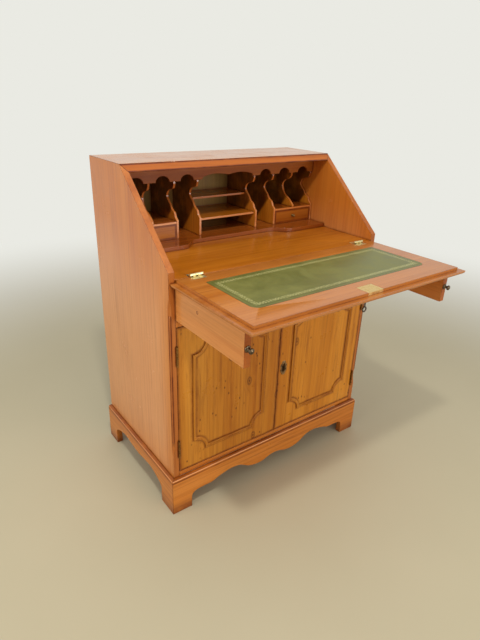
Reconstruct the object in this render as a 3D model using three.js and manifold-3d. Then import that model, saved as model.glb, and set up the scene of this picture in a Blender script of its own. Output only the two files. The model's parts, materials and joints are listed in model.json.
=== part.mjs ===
// Fall front secretaire: an open writing fall on two pull-out supports, a pigeonhole unit,
// a long drawer and a cupboard with two doors, on a plinth with shaped aprons.
// Lengths are in millimetres and angles in radians. +X is the right, +Y the back, +Z up.
// The case is drawn about the middle of its own width and depth, and stands on z = 0.

import * as THREE from "three";
import { mergeVertices } from "three/addons/utils/BufferGeometryUtils.js";
import Module from "manifold-3d";

const wasm = await Module();
wasm.setup();

// Case
const caseWidth = 760;
const caseDepth = 458;
const topDepth = 208.5;
const slopeRise = 224;
const slopeFootRise = 20;
const sideThickness = 18;
const topThickness = 20;
const backThickness = 6;
const glueSeam = 0.25;
const cutOverrun = 4;

// Boards across the case
const writingHeight = 742;
const writingBoardGap = 0.3;
const railThickness = 21;
const floorThickness = 15;
const shelfThickness = 15;
const shelfRise = 235;
const shelfSetback = 42;

// Plinth
const plinthHeight = 117;
const plinthProjection = 12;
const plinthThickness = 20;
const mouldingHeight = 10;
const mouldingFillet = 2;
const mouldingLip = 3;
const frontFootWidth = 66;
const frontFootStraight = 27;
const sideFootWidth = 61;
const sideFootStraight = 35;

// Stopped flute with a bead on the front corners of the sides
const fluteReach = 7;
const fluteTopMargin = 97;
const fluteBottomMargin = 116;
const fluteStopLength = 38;
const fluteBeadRadius = 2.4;
const fluteBeadMargin = 19;

// Writing fall
const fallThickness = 18;
const fallTopMargin = 7.3;
const fallSideMargin = 5;
const lipThickness = 10;
const lipSideWidth = 16;
const lipFrontWidth = 15.5;
const lipRoundWidth = 9;
const lipRoundHeight = 7;
const fallRearGap = 0.5;
const fallShutGap = 0.5;

// Leather of the fall
const leatherSideMargin = 55;
const leatherRearMargin = 51;
const leatherFrontMargin = 66.5;
const leatherThickness = 1.2;
const leatherFrontRadius = 22;
const leatherRearRadius = 4;

// Lock of the fall
const lockMiddle = 13;
const lockPlateWidth = 54;
const lockPlateDepth = 40;
const lockPlateThickness = 1.6;
const lockCaseWidth = 50;
const lockCaseDepth = 34;
const lockCaseHeight = 10;
const selvedgeHeight = 7.4;
const boltWidth = 22;
const boltThickness = 3.2;
const boltLength = 24;
const boltThrow = 13;
const boltClearance = 0.35;
const strikeClearance = 0.7;

// Key
const keyMiddle = 3;
const keyInset = 19.5;
const keyShaftRadius = 2.2;
const keyShankLength = 29;
const keyTipWall = 0.9;
const keyCollarRadius = 3.5;
const keyCollarLength = 3;
const keyCollarDrop = 3;
const keyBowRadius = 6.2;
const keyBowTube = 1.8;
const keyBitLength = 5.6;
const keyBitThickness = 1.6;
const keyBitHeight = 3;
const keyClearance = 0.6;

// Supports of the fall
const loperThickness = 18;
const loperHeight = 90.4;
const loperBackGap = 31.75;
const loperExtension = 289;
const loperClearance = 0.3;
const partitionThickness = 12;

// Turned knobs
const knobLength = 17;
const knobHeadRadius = 7;
const knobNeckRadius = 3.2;
const knobFlangeRadius = 8;
const knobFlangeLength = 2;
const smallKnobLength = 11;
const smallKnobHeadRadius = 5;
const smallKnobNeckRadius = 2.4;
const smallKnobFlangeRadius = 5;
const smallKnobFlangeLength = 1.2;
const knobSeam = 0.25;

// Long drawer
const drawerSideGap = 1;
const drawerEdgeGap = 0.8;
const longDrawerBackGap = 51.75;
const longDrawerFront = 22;
const longDrawerWall = 10;
const longDrawerBottom = 6;
const longDrawerSideDrop = 12;
const longDrawerKnobSpacing = 330;

// Doors
const doorThickness = 18;
const doorHingeGap = 1;
const doorEdgeGap = 1.5;
const doorMeetingGap = 2;
const doorMouldingSideMargin = 48;
const doorMouldingMiddleMargin = 53;
const doorMouldingEndMargin = 50;
const doorMouldingWidth = 10;
const doorMouldingHeight = 4.5;
const doorMouldingRound = 2.5;
const doorNotchRadius = 42;
const doorNotchEar = 7;
const escutcheonWidth = 28;
const escutcheonHeight = 50;
const escutcheonThickness = 1.2;
const escutcheonInset = 22;
const escutcheonDrop = 2.5;
const keyholeRadius = 2.8;
const keyholeRise = 3;
const keyholeLength = 10;
const keyholeSlot = 2.8;

// Hinges
const doorHingeLength = 60;
const doorHingeInset = 82;
const doorHingeRadius = 3;
const doorHingeStandOff = 0.5;
const doorHingeLeafWidth = 15;
const doorHingeLeafThickness = 1.3;
const fallHingeLength = 38;
const fallHingeInset = 59;
const fallHingeRadius = 3.4;
const fallHingeLeafWidth = 20;
const fallHingeLeafThickness = 1.6;
const hingePinRadius = 1.3;
const hingePinClearance = 0.3;
const hingeKnuckleGap = 0.4;
const hingeKnuckles = 5;
const leafPairGap = 0.2;

// Pigeonhole unit
const unitBaseThickness = 12;
const unitBaseWingStep = 72;
const unitBaseMiddleStep = 32;
const unitBaseWingWidth = 152;
const unitBaseCurveWidth = 70;
const unitDepth = 165.75;
const partitionBoard = 7;
const endPanelThickness = 6;
const outerBayPitch = 83.75;
const middleBayPitch = 83;
const innerBayPitch = 80;
const dividerNeckDrop = 2.6;
const smallDrawerHeight = 45;
const smallDrawerGap = 0.5;
const smallDrawerBackGap = 15.75;
const smallDrawerFront = 10;
const smallDrawerWall = 6;
const smallDrawerBottom = 4;
const smallDrawerSideDrop = 5;
const beadWidth = 3;
const beadHeight = 1;
const drawerTopThickness = 6.5;
const centreShelfThickness = 6.5;
const lowerShelfHeight = 51;
const lowerShelfSetback = 8;
const upperShelfHeight = 106;
const upperShelfSetback = 63;
const friezeHeight = 44;
const friezeThickness = 7;
const friezeSetback = 9;
const archWidth = 45;
const archRise = 18;
const centreArchRise = 15;
const centreArchMargin = 10;
const centreArchStep = 9;

// Steps along each curve and sides of each round shape
const curveSteps = 3;
const dividerSteps = 4;
const archSteps = 6;
const unitBaseSteps = 10;
const notchSteps = 8;
const keyholeSteps = 6;
const leatherCornerSteps = 4;
const lipRoundSteps = 3;
const doorMouldingSteps = 2;
const fluteSides = 4;
const fluteStopSteps = 4;
const fluteBeadSides = 8;
const hingeSides = 12;
const knobSides = 16;
const keyBowSides = 8;
const keyBowSteps = 20;

// Outline of the front apron, from a foot to the middle.
// Each pair is a share of its half span and a share of the board's height over the straight foot.
const frontApronShares = [
  [0.994, 0.194],
  [0.957, 0.3],
  [0.88, 0.333],
  [0.776, 0.339],
  [0.712, 0.422],
  [0.617, 0.511],
  [0.537, 0.544],
  [0.451, 0.5],
  [0.393, 0.389],
  [0.334, 0.267],
  [0.245, 0.189],
  [0.156, 0.196],
  [0.051, 0.311],
];

// Outline of a side apron, in the same kind of shares
const sideApronShares = [
  [0.995, 0.232],
  [0.893, 0.39],
  [0.714, 0.524],
  [0.536, 0.585],
  [0.327, 0.549],
  [0.119, 0.5],
];

// Front edge of a full divider over its straight foot, from below.
// Each pair is a share of the unit's depth and a share of the height from the divider's lower
// edge to its neck.
const dividerFootShare = 0.332;
const dividerShares = [
  [0.06, 0.384],
  [0.1, 0.46],
  [0.19, 0.512],
  [0.25, 0.589],
  [0.36, 0.692],
  [0.35, 0.781],
  [0.27, 0.846],
  [0.14, 0.884],
  [0.1, 0.949],
];

// Front edge of a short divider, which stands on the board over a drawer, in the same shares
const shortDividerFootShare = 0.058;
const shortDividerShares = [
  [0.12, 0.209],
  [0.26, 0.322],
  [0.34, 0.473],
  [0.36, 0.624],
  [0.29, 0.755],
  [0.16, 0.831],
  [0.11, 0.925],
];

// Turned head of a knob: shares of the head's radius and of the knob's length
const knobNeckShare = 0.5;
const knobHeadShares = [
  [1, 0.66],
  [1, 0.8],
  [0.72, 0.94],
  [0, 1],
];

// Outline of the keyhole plate, as shares of its half width at steps up its half height
const escutcheonShares = [
  [0.28, 1],
  [0.62, 0.86],
  [0.5, 0.7],
  [0.9, 0.5],
  [1, 0.22],
  [0.82, 0],
  [1, -0.22],
  [0.9, -0.5],
  [0.5, -0.7],
  [0.62, -0.86],
  [0.28, -1],
];

// Places worked out from the sizes
const caseHalf = caseWidth / 2;
const innerHalf = caseHalf - sideThickness;
const frontY = -caseDepth / 2;
const backY = caseDepth / 2;
const innerBackY = backY - backThickness - glueSeam;
const topFrontY = backY - topDepth;
const slopeFootHeight = writingHeight + slopeFootRise;
const caseHeight = slopeFootHeight + slopeRise;
const slopeRun = topFrontY - frontY;
const slopeAngle = Math.atan2(slopeRise, slopeRun);
const topUnderside = caseHeight - topThickness;
const topUndersideFrontY = topFrontY - topThickness / Math.tan(slopeAngle);
const boardHalf = innerHalf - glueSeam;
const writingUnderside = writingHeight - fallThickness;
const loperTop = writingUnderside - loperClearance;
const loperBottom = loperTop - loperHeight;
const railTop = loperBottom - loperClearance;
const railBottom = railTop - railThickness;
const floorBottom = plinthHeight + mouldingHeight;
const floorTop = floorBottom + floorThickness;
const shelfTop = floorTop + shelfRise;
const shutAngle = Math.PI - slopeAngle;

// The fall's pin lies in the front plane, so high that the lip shuts against the slope
const lipStep = fallThickness - lipThickness;
const fallReach = Math.hypot(slopeRise, slopeRun) - fallTopMargin;
const fallHalfWidth = caseHalf - fallSideMargin;
const pinHeight =
  (Math.cos(slopeAngle) * slopeFootHeight + writingHeight - lipStep + fallShutGap) /
  (1 + Math.cos(slopeAngle));
const fallTop = writingHeight - pinHeight;
const fallBottom = fallTop - fallThickness;
const fieldHalf = fallHalfWidth - lipSideWidth;
const fieldReach = fallReach - lipFrontWidth;
const fallHingeMiddle = fieldHalf - fallHingeInset;
const keyReach = fieldReach - keyInset;
const boltRoom = boltThickness + 2 * boltClearance;
const keyInsertion = fallThickness - lockPlateThickness - boltRoom - keyTipWall - keyClearance;

// Sizes of the pigeonhole unit
const unitFloor = writingHeight + unitBaseThickness;
const unitHeight = topUnderside - unitFloor;
const unitFrontY = innerBackY - unitDepth;
const endPanelFace = boardHalf - endPanelThickness;
const shortDividerMiddle = endPanelFace - outerBayPitch;
const outerDividerMiddle = shortDividerMiddle - middleBayPitch;
const innerDividerMiddle = outerDividerMiddle - innerBayPitch;
const drawerTopBottom = unitFloor + smallDrawerHeight + 2 * smallDrawerGap;
const drawerTopSurface = drawerTopBottom + drawerTopThickness;
const friezeBottom = topUnderside - friezeHeight;
const friezeBackY = unitFrontY + friezeSetback + friezeThickness;
const neckHeight = friezeBottom - dividerNeckDrop;

// Doors
const doorBottom = floorTop + doorEdgeGap;
const doorTop = railBottom - doorEdgeGap;
const doorHeight = doorTop - doorBottom;
const doorPinX = innerHalf - doorHingeGap / 2;
const doorNearEdge = doorHingeGap / 2;
const doorFarEdge = doorPinX - doorMeetingGap / 2;
const doorHingePinOffset = doorHingeRadius + doorHingeStandOff;
const doorHingeHeights = [doorHingeInset, doorHeight - doorHingeInset];

const finishes = {
  caseWood: { color: 0xc08a58, roughness: 0.35, metalness: 0 },
  topWood: { color: 0xc98b62, roughness: 0.3, metalness: 0 },
  insideWood: { color: 0xa8651f, roughness: 0.45, metalness: 0 },
  doorWood: { color: 0xb5752a, roughness: 0.35, metalness: 0 },
  mouldingWood: { color: 0x8a4a1c, roughness: 0.35, metalness: 0 },
  drawerWood: { color: 0xa8702f, roughness: 0.5, metalness: 0 },
  backWood: { color: 0x8f7a4c, roughness: 0.7, metalness: 0 },
  leather: { color: 0x78874e, roughness: 0.55, metalness: 0 },
  brass: { color: 0xb08d4a, roughness: 0.35, metalness: 1 },
  brightBrass: { color: 0xc9b078, roughness: 0.25, metalness: 1 },
  steel: { color: 0x4a4238, roughness: 0.4, metalness: 1 },
};

// Makes a named mesh with a material of its own.
function piece(name, finish, geometry, place = [0, 0, 0]) {
  const mesh = new THREE.Mesh(geometry, new THREE.MeshStandardMaterial(finishes[finish]));
  mesh.name = name;
  mesh.position.set(...place);
  return mesh;
}

// Makes a box between two opposite corners.
function block(low, high) {
  const size = high.map((value, i) => value - low[i]);
  const geometry = new THREE.BoxGeometry(...size);
  geometry.translate(...low.map((value, i) => value + size[i] / 2));
  return geometry;
}

// Makes a plain board between two opposite corners, placed by its middle.
function board(name, finish, low, high) {
  const size = high.map((value, i) => value - low[i]);
  const middle = low.map((value, i) => value + size[i] / 2);
  return piece(name, finish, new THREE.BoxGeometry(...size), middle);
}

function outline(points) {
  return new THREE.Shape(points.map(([a, b]) => new THREE.Vector2(a, b)));
}

// Extrudes an outline in x and y upwards.
function extrudeUp(shape, height, curveSegments = curveSteps) {
  return new THREE.ExtrudeGeometry(shape, { depth: height, bevelEnabled: false, curveSegments });
}

// Extrudes an outline in y and z to the right.
function extrudeAcross(shape, width, curveSegments = curveSteps) {
  const turn = new THREE.Matrix4().makeBasis(
    new THREE.Vector3(0, 1, 0),
    new THREE.Vector3(0, 0, 1),
    new THREE.Vector3(1, 0, 0),
  );
  return extrudeUp(shape, width, curveSegments).applyMatrix4(turn);
}

// Extrudes an outline in x and z to the front.
function extrudeForward(shape, depth, curveSegments = curveSteps) {
  return extrudeUp(shape, depth, curveSegments).rotateX(Math.PI / 2);
}

function toSolid(geometry) {
  const bare = geometry.clone();
  bare.deleteAttribute("normal");
  bare.deleteAttribute("uv");
  const merged = mergeVertices(bare);
  return new wasm.Manifold(
    new wasm.Mesh({
      numProp: 3,
      vertProperties: merged.attributes.position.array,
      triVerts: new Uint32Array(merged.index.array),
    }),
  );
}

function toGeometry(solid) {
  const mesh = solid.getMesh();
  const geometry = new THREE.BufferGeometry();
  geometry.setAttribute("position", new THREE.BufferAttribute(mesh.vertProperties, 3));
  geometry.setIndex(new THREE.BufferAttribute(mesh.triVerts, 1));
  geometry.computeVertexNormals();
  return geometry;
}

function cut(geometry, tools) {
  return toGeometry(tools.reduce((solid, tool) => solid.subtract(toSolid(tool)), toSolid(geometry)));
}

function join(geometry, others) {
  return toGeometry(others.reduce((solid, other) => solid.add(toSolid(other)), toSolid(geometry)));
}

// Turns the triangles of a mirrored geometry round, so that they face out again.
function facesOut(geometry) {
  const index = geometry.index.array;
  for (let i = 0; i < index.length; i += 3) {
    [index[i], index[i + 1]] = [index[i + 1], index[i]];
  }
  geometry.computeVertexNormals();
  return geometry;
}

// Makes a turned piece about z from a profile of radius and height pairs.
function turned(profile, sides) {
  const points = profile.map(([radius, height]) => new THREE.Vector2(radius, height));
  return new THREE.LatheGeometry(points, sides).rotateX(Math.PI / 2);
}

function cylinderAlongX(radius, from, to, sides) {
  const geometry = new THREE.CylinderGeometry(radius, radius, to - from, sides);
  return geometry.rotateZ(Math.PI / 2).translate((from + to) / 2, 0, 0);
}

function cylinderAlongZ(radius, from, to, sides) {
  const geometry = new THREE.CylinderGeometry(radius, radius, to - from, sides);
  return geometry.rotateX(Math.PI / 2).translate(0, 0, (from + to) / 2);
}

// Half of a hinge about a pin on the local x axis. The leaf runs back along +y, between the
// heights leafLow and leafHigh. Odd halves own the second and fourth knuckle, and even halves
// own the others and the pin.
function hingeHalf(sizes, odd) {
  const { length, radius, leafWidth, leafLow, leafHigh, tongueHigh } = sizes;
  const leafStart = radius + hingeKnuckleGap;
  const step = length / hingeKnuckles;
  let geometry = block([-length / 2, leafStart, leafLow], [length / 2, leafWidth, leafHigh]);
  const parts = [];
  for (let i = odd ? 1 : 0; i < hingeKnuckles; i += 2) {
    const from = -length / 2 + i * step + hingeKnuckleGap / 2;
    const to = from + step - hingeKnuckleGap;
    parts.push(block([from, 0, leafLow], [to, leafStart + hingeKnuckleGap, tongueHigh]));
    parts.push(cylinderAlongX(radius, from, to, hingeSides));
  }
  geometry = join(geometry, parts);
  if (odd) {
    const bore = hingePinRadius + hingePinClearance;
    const reach = length / 2 + cutOverrun;
    return cut(geometry, [cylinderAlongX(bore, -reach, reach, hingeSides)]);
  }
  return join(geometry, [cylinderAlongX(hingePinRadius, -length / 2, length / 2, hingeSides)]);
}

// Triangular tool that keeps one half of a mitred corner of the plinth.
function plinthMitre(side, keepFront, gap) {
  const reach = plinthProjection + plinthThickness + cutOverrun;
  const outer = side * (caseHalf + plinthProjection + cutOverrun);
  const inner = side * (caseHalf + plinthProjection - reach);
  const front = frontY - plinthProjection - cutOverrun + gap;
  const back = frontY - plinthProjection + reach + gap;
  const third = keepFront ? [outer, back] : [inner, front];
  const shape = outline([[outer, front], [inner, back], third]);
  const height = floorBottom + 2 * cutOverrun;
  return extrudeUp(shape, height).translate(0, 0, -cutOverrun);
}

// Outline of a plinth board from one end to the other, with feet and a shaped apron between.
function apronOutline(lowEnd, highEnd, halfSpan, straight, shares) {
  const rise = plinthHeight - straight;
  const left = shares.map(([across, up]) => new THREE.Vector2(-across * halfSpan, straight + up * rise));
  const right = left.map((point) => new THREE.Vector2(-point.x, point.y)).reverse();
  const shape = new THREE.Shape();
  shape.moveTo(lowEnd, plinthHeight);
  shape.lineTo(lowEnd, 0);
  shape.lineTo(-halfSpan, 0);
  shape.lineTo(-halfSpan, straight);
  shape.splineThru([...left, ...right, new THREE.Vector2(halfSpan, straight)]);
  shape.lineTo(halfSpan, 0);
  shape.lineTo(highEnd, 0);
  shape.lineTo(highEnd, plinthHeight);
  return shape;
}

// Section of the moulding on a plinth board: distance out from the case, and height.
function plinthMouldingSection() {
  const shape = new THREE.Shape();
  shape.moveTo(glueSeam, plinthHeight - mouldingFillet);
  shape.lineTo(plinthProjection, plinthHeight - mouldingFillet);
  shape.lineTo(plinthProjection, plinthHeight + mouldingFillet);
  shape.quadraticCurveTo(plinthProjection, floorBottom, mouldingLip, floorBottom);
  shape.lineTo(glueSeam, floorBottom);
  return shape;
}

function makePlinthFront() {
  const end = caseHalf + plinthProjection;
  const span = end - frontFootWidth;
  const shape = apronOutline(-end, end, span, frontFootStraight, frontApronShares);
  const face = extrudeForward(shape, plinthThickness);
  face.translate(0, frontY - plinthProjection + plinthThickness, 0);
  const moulding = extrudeAcross(plinthMouldingSection(), 2 * end);
  moulding.rotateZ(Math.PI).translate(end, frontY, 0);
  const mitres = [plinthMitre(-1, true, 0), plinthMitre(1, true, 0)];
  return piece("plinth_front", "caseWood", cut(join(face, [moulding]), mitres));
}

// The side board is drawn along x, as seen from its outside, and then turned about z.
function makePlinthSide(name, side) {
  const frontEnd = caseDepth / 2 + plinthProjection;
  const backEnd = caseDepth / 2;
  const span = caseDepth / 2 - sideFootWidth;
  const ends = side < 0 ? [-backEnd, frontEnd] : [-frontEnd, backEnd];
  const shape = apronOutline(ends[0], ends[1], span, sideFootStraight, sideApronShares);
  const face = extrudeForward(shape, plinthThickness);
  face.translate(0, plinthThickness - plinthProjection, 0);
  const moulding = extrudeAcross(plinthMouldingSection(), frontEnd + backEnd);
  moulding.rotateZ(Math.PI).translate(ends[1], 0, 0);
  const turnedBoard = join(face, [moulding]).rotateZ((side * Math.PI) / 2);
  turnedBoard.translate(side * caseHalf, 0, 0);
  return piece(name, "caseWood", cut(turnedBoard, [plinthMitre(side, false, glueSeam)]));
}

// Tool for the mitre between a side and the top board.
function topMitre(side, keepTop, gap) {
  const rise = topThickness / sideThickness;
  const inner = innerHalf - cutOverrun;
  const outer = caseHalf + cutOverrun;
  const low = topUnderside - cutOverrun * rise - gap;
  const high = caseHeight + cutOverrun * rise - gap;
  const third = keepTop ? [side * outer, low] : [side * inner, high];
  const shape = outline([[side * inner, low], [side * outer, high], third]);
  return extrudeForward(shape, caseDepth + 2 * cutOverrun).translate(0, backY + cutOverrun, 0);
}

// Tools for the flute and its bead on one front corner of the case. The flute runs out at
// both ends in a stop whose depth follows half a cosine wave.
function fluteTools(side) {
  const top = slopeFootHeight - fluteTopMargin;
  const bottom = plinthHeight + fluteBottomMargin;
  const middle = (top + bottom) / 2;
  const half = (top - bottom) / 2;
  const end = Array.from({ length: fluteStopSteps + 1 }, (unused, i) => {
    const share = i / fluteStopSteps;
    const reach = (fluteReach * (1 - Math.cos(Math.PI * share))) / 2;
    return [reach, half + fluteStopLength * (1 - share)];
  });
  const start = end.map(([reach, height]) => [reach, -height]);
  const groove = turned([...start, ...end.reverse()], fluteSides);
  groove.translate(side * caseHalf, frontY, middle);
  const beadHalf = half - fluteBeadMargin;
  const beadFlat = beadHalf - fluteBeadRadius;
  const profile = [
    [0, -beadHalf],
    [fluteBeadRadius, -beadFlat],
    [fluteBeadRadius, beadFlat],
    [0, beadHalf],
  ];
  const bead = turned(profile, fluteBeadSides);
  bead.translate(side * (caseHalf - fluteReach / 2), frontY + fluteReach / 2, middle);
  return { groove, bead };
}

function makeSide(name, side) {
  const shape = outline([
    [frontY, plinthHeight + glueSeam],
    [backY, plinthHeight + glueSeam],
    [backY, caseHeight],
    [topFrontY, caseHeight],
    [frontY, slopeFootHeight],
  ]);
  const slab = extrudeAcross(shape, sideThickness);
  slab.translate(side > 0 ? innerHalf : -caseHalf, 0, 0);
  const { groove, bead } = fluteTools(side);
  const pockets = doorHingeHeights.map((height) => {
    const half = doorHingeLength / 2 + glueSeam;
    const depth = doorHingeLeafThickness + leafPairGap / 2 - doorHingeGap / 2 + glueSeam;
    const xs = [side * (innerHalf - cutOverrun), side * (innerHalf + depth)].sort((a, b) => a - b);
    const back = frontY - doorHingePinOffset + doorHingeLeafWidth + glueSeam;
    const middle = doorBottom + height;
    return block([xs[0], frontY - cutOverrun, middle - half], [xs[1], back, middle + half]);
  });
  const shaped = join(cut(slab, [groove, topMitre(side, false, 0), ...pockets]), [bead]);
  return piece(name, "caseWood", shaped);
}

// The bolt's room in the closed position, for the strike in the top board.
function strikeTool() {
  const half = boltWidth / 2 + strikeClearance;
  const top = fallTop - lockPlateThickness - boltClearance + strikeClearance;
  const bottom = top - boltThickness - 2 * strikeClearance;
  const end = fieldReach + boltThrow + strikeClearance;
  const room = block([lockMiddle - half, -end, bottom], [lockMiddle + half, -fieldReach, top]);
  return room.rotateX(-shutAngle).translate(0, frontY, pinHeight);
}

function makeTop() {
  const shape = outline([
    [topUndersideFrontY, topUnderside],
    [backY, topUnderside],
    [backY, caseHeight],
    [topFrontY, caseHeight],
  ]);
  const slab = extrudeAcross(shape, caseWidth).translate(-caseHalf, 0, 0);
  const mitres = [topMitre(-1, true, -glueSeam), topMitre(1, true, -glueSeam)];
  return piece("top_board", "topWood", cut(slab, [...mitres, strikeTool()]));
}

// Room for the leaf of a fall hinge, in a board whose upper face is at surface.
function fallHingePocket(middle, surface, towardsBack) {
  const half = fallHingeLength / 2 + glueSeam;
  const floor = surface - fallHingeLeafThickness - glueSeam;
  const deep = fallHingeLeafWidth + glueSeam;
  const ys = towardsBack ? [-cutOverrun, deep] : [-deep, cutOverrun];
  return block([middle - half, ys[0], floor], [middle + half, ys[1], surface + cutOverrun]);
}

function makeWritingBoard() {
  const slab = block(
    [-boardHalf, frontY + writingBoardGap, writingUnderside],
    [boardHalf, innerBackY, writingHeight],
  );
  const pockets = [-fallHingeMiddle, fallHingeMiddle].map((middle) =>
    fallHingePocket(middle, writingHeight, true).translate(0, frontY, 0),
  );
  return piece("writing_board", "insideWood", cut(slab, pockets));
}

function makeCaseBoards() {
  const backs = board(
    "back_panel",
    "backWood",
    [-boardHalf, backY - backThickness, floorBottom],
    [boardHalf, backY, topUnderside - glueSeam],
  );
  const rail = board(
    "drawer_rail",
    "caseWood",
    [-boardHalf, frontY, railBottom],
    [boardHalf, innerBackY, railTop],
  );
  const floor = board(
    "cupboard_floor",
    "caseWood",
    [-boardHalf, frontY, floorBottom],
    [boardHalf, innerBackY, floorTop],
  );
  const shelf = board(
    "cupboard_shelf",
    "insideWood",
    [-boardHalf, frontY + shelfSetback, shelfTop - shelfThickness],
    [boardHalf, innerBackY, shelfTop],
  );
  return [backs, rail, floor, shelf];
}

// Upright board between a support and the long drawer.
function makeLoperPartition(name, side) {
  const outer = innerHalf - 2 * loperClearance - loperThickness;
  const xs = [side * outer, side * (outer - partitionThickness)].sort((a, b) => a - b);
  return board(
    name,
    "caseWood",
    [xs[0], frontY, railTop + glueSeam],
    [xs[1], innerBackY, writingUnderside - glueSeam],
  );
}

function turnedKnob({ length, head, neck, flange, flangeLength }) {
  const neckEnd = knobNeckShare * length;
  const profile = [
    [0, 0],
    [flange, 0],
    [flange, flangeLength / 2],
    [flange - flangeLength / 2, flangeLength],
    [neck, flangeLength],
    [neck, neckEnd],
    [(head + neck) / 2, neckEnd],
    ...knobHeadShares.map(([across, along]) => [across * head, along * length]),
  ];
  return turned(profile, knobSides);
}

const largeKnob = {
  length: knobLength,
  head: knobHeadRadius,
  neck: knobNeckRadius,
  flange: knobFlangeRadius,
  flangeLength: knobFlangeLength,
};

const smallKnob = {
  length: smallKnobLength,
  head: smallKnobHeadRadius,
  neck: smallKnobNeckRadius,
  flange: smallKnobFlangeRadius,
  flangeLength: smallKnobFlangeLength,
};

// A knob that stands forward from a face at y = faceY.
function makeKnob(name, sizes, x, faceY, z) {
  const knob = piece(name, "brass", turnedKnob(sizes), [x, faceY - knobSeam, z]);
  knob.rotation.x = Math.PI / 2;
  return knob;
}

function makeLoper(label, side) {
  const group = new THREE.Group();
  const middle = side * (innerHalf - loperClearance - loperThickness / 2);
  const loperLength = innerBackY - frontY - loperBackGap;
  group.position.set(middle, frontY - loperExtension, loperBottom + loperHeight / 2);
  const bar = new THREE.BoxGeometry(loperThickness, loperLength, loperHeight);
  group.add(piece(`loper_${label}`, "caseWood", bar, [0, loperLength / 2, 0]));
  group.add(makeKnob(`loper_knob_${label}`, largeKnob, 0, 0, 0));
  return group;
}

// Drawer with a front at y = 0, open at the top. Its sides are lower than its front.
function drawerBox(sizes) {
  const { halfWidth, depth, height, front, wall, bottom, sideDrop } = sizes;
  const tub = block([-halfWidth, 0, 0], [halfWidth, depth, height]);
  const room = block(
    [wall - halfWidth, front, bottom],
    [halfWidth - wall, depth - wall, height + cutOverrun],
  );
  const drop = block(
    [-halfWidth - cutOverrun, front, height - sideDrop],
    [halfWidth + cutOverrun, depth + cutOverrun, height + cutOverrun],
  );
  const field = block(
    [beadWidth - halfWidth, -cutOverrun, beadWidth],
    [halfWidth - beadWidth, beadHeight, height - beadWidth],
  );
  return cut(tub, [room, drop, field]);
}

function makeSmallDrawer(label, side) {
  const group = new THREE.Group();
  const inner = outerDividerMiddle + partitionBoard / 2 + smallDrawerGap;
  const outer = endPanelFace - smallDrawerGap;
  group.position.set((side * (inner + outer)) / 2, unitFrontY, unitFloor + smallDrawerGap);
  const geometry = drawerBox({
    halfWidth: (outer - inner) / 2,
    depth: unitDepth - smallDrawerBackGap,
    height: smallDrawerHeight,
    front: smallDrawerFront,
    wall: smallDrawerWall,
    bottom: smallDrawerBottom,
    sideDrop: smallDrawerSideDrop,
  });
  group.add(piece(`small_drawer_${label}`, "drawerWood", geometry));
  group.add(makeKnob(`small_drawer_knob_${label}`, smallKnob, 0, beadHeight, smallDrawerHeight / 2));
  return group;
}

function makeLongDrawer() {
  const group = new THREE.Group();
  const bayHalf = innerHalf - 2 * loperClearance - loperThickness - partitionThickness;
  const height = writingUnderside - railTop - 2 * drawerEdgeGap;
  group.position.set(0, frontY, railTop + drawerEdgeGap);
  const geometry = drawerBox({
    halfWidth: bayHalf - drawerSideGap,
    depth: innerBackY - frontY - longDrawerBackGap,
    height,
    front: longDrawerFront,
    wall: longDrawerWall,
    bottom: longDrawerBottom,
    sideDrop: longDrawerSideDrop,
  });
  group.add(piece("long_drawer", "drawerWood", geometry));
  const half = longDrawerKnobSpacing / 2;
  group.add(makeKnob("long_drawer_knob_left", largeKnob, -half, beadHeight, height / 2));
  group.add(makeKnob("long_drawer_knob_right", largeKnob, half, beadHeight, height / 2));
  return group;
}

// Points of a rectangle with a round notch in each corner, clockwise. The notch's circle is
// centred centreOut outside the corner, and starts ear away from the rectangle's line.
function notchedOutline(lowX, lowZ, highX, highZ, radius, centreOut, ear) {
  const start = Math.asin((centreOut + ear) / radius);
  const near = radius * Math.cos(start) - centreOut;
  const corners = [
    { x: highX, z: highZ, sx: 1, sz: 1, from: Math.PI + start, to: 1.5 * Math.PI - start },
    { x: highX, z: lowZ, sx: 1, sz: -1, from: Math.PI / 2 + start, to: Math.PI - start },
    { x: lowX, z: lowZ, sx: -1, sz: -1, from: start, to: Math.PI / 2 - start },
    { x: lowX, z: highZ, sx: -1, sz: 1, from: 1.5 * Math.PI + start, to: 2 * Math.PI - start },
  ];
  return corners.flatMap(({ x, z, sx, sz, from, to }, i) => {
    const centreX = x + sx * centreOut;
    const centreZ = z + sz * centreOut;
    const arc = new THREE.EllipseCurve(centreX, centreZ, radius, radius, from, to).getPoints(notchSteps);
    if (ear === 0) {
      return arc;
    }
    const onLevel = new THREE.Vector2(x - sx * near, z);
    const onUpright = new THREE.Vector2(x, z - sz * near);
    return i % 2 === 0 ? [onLevel, ...arc, onUpright] : [onUpright, ...arc, onLevel];
  });
}

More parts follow.
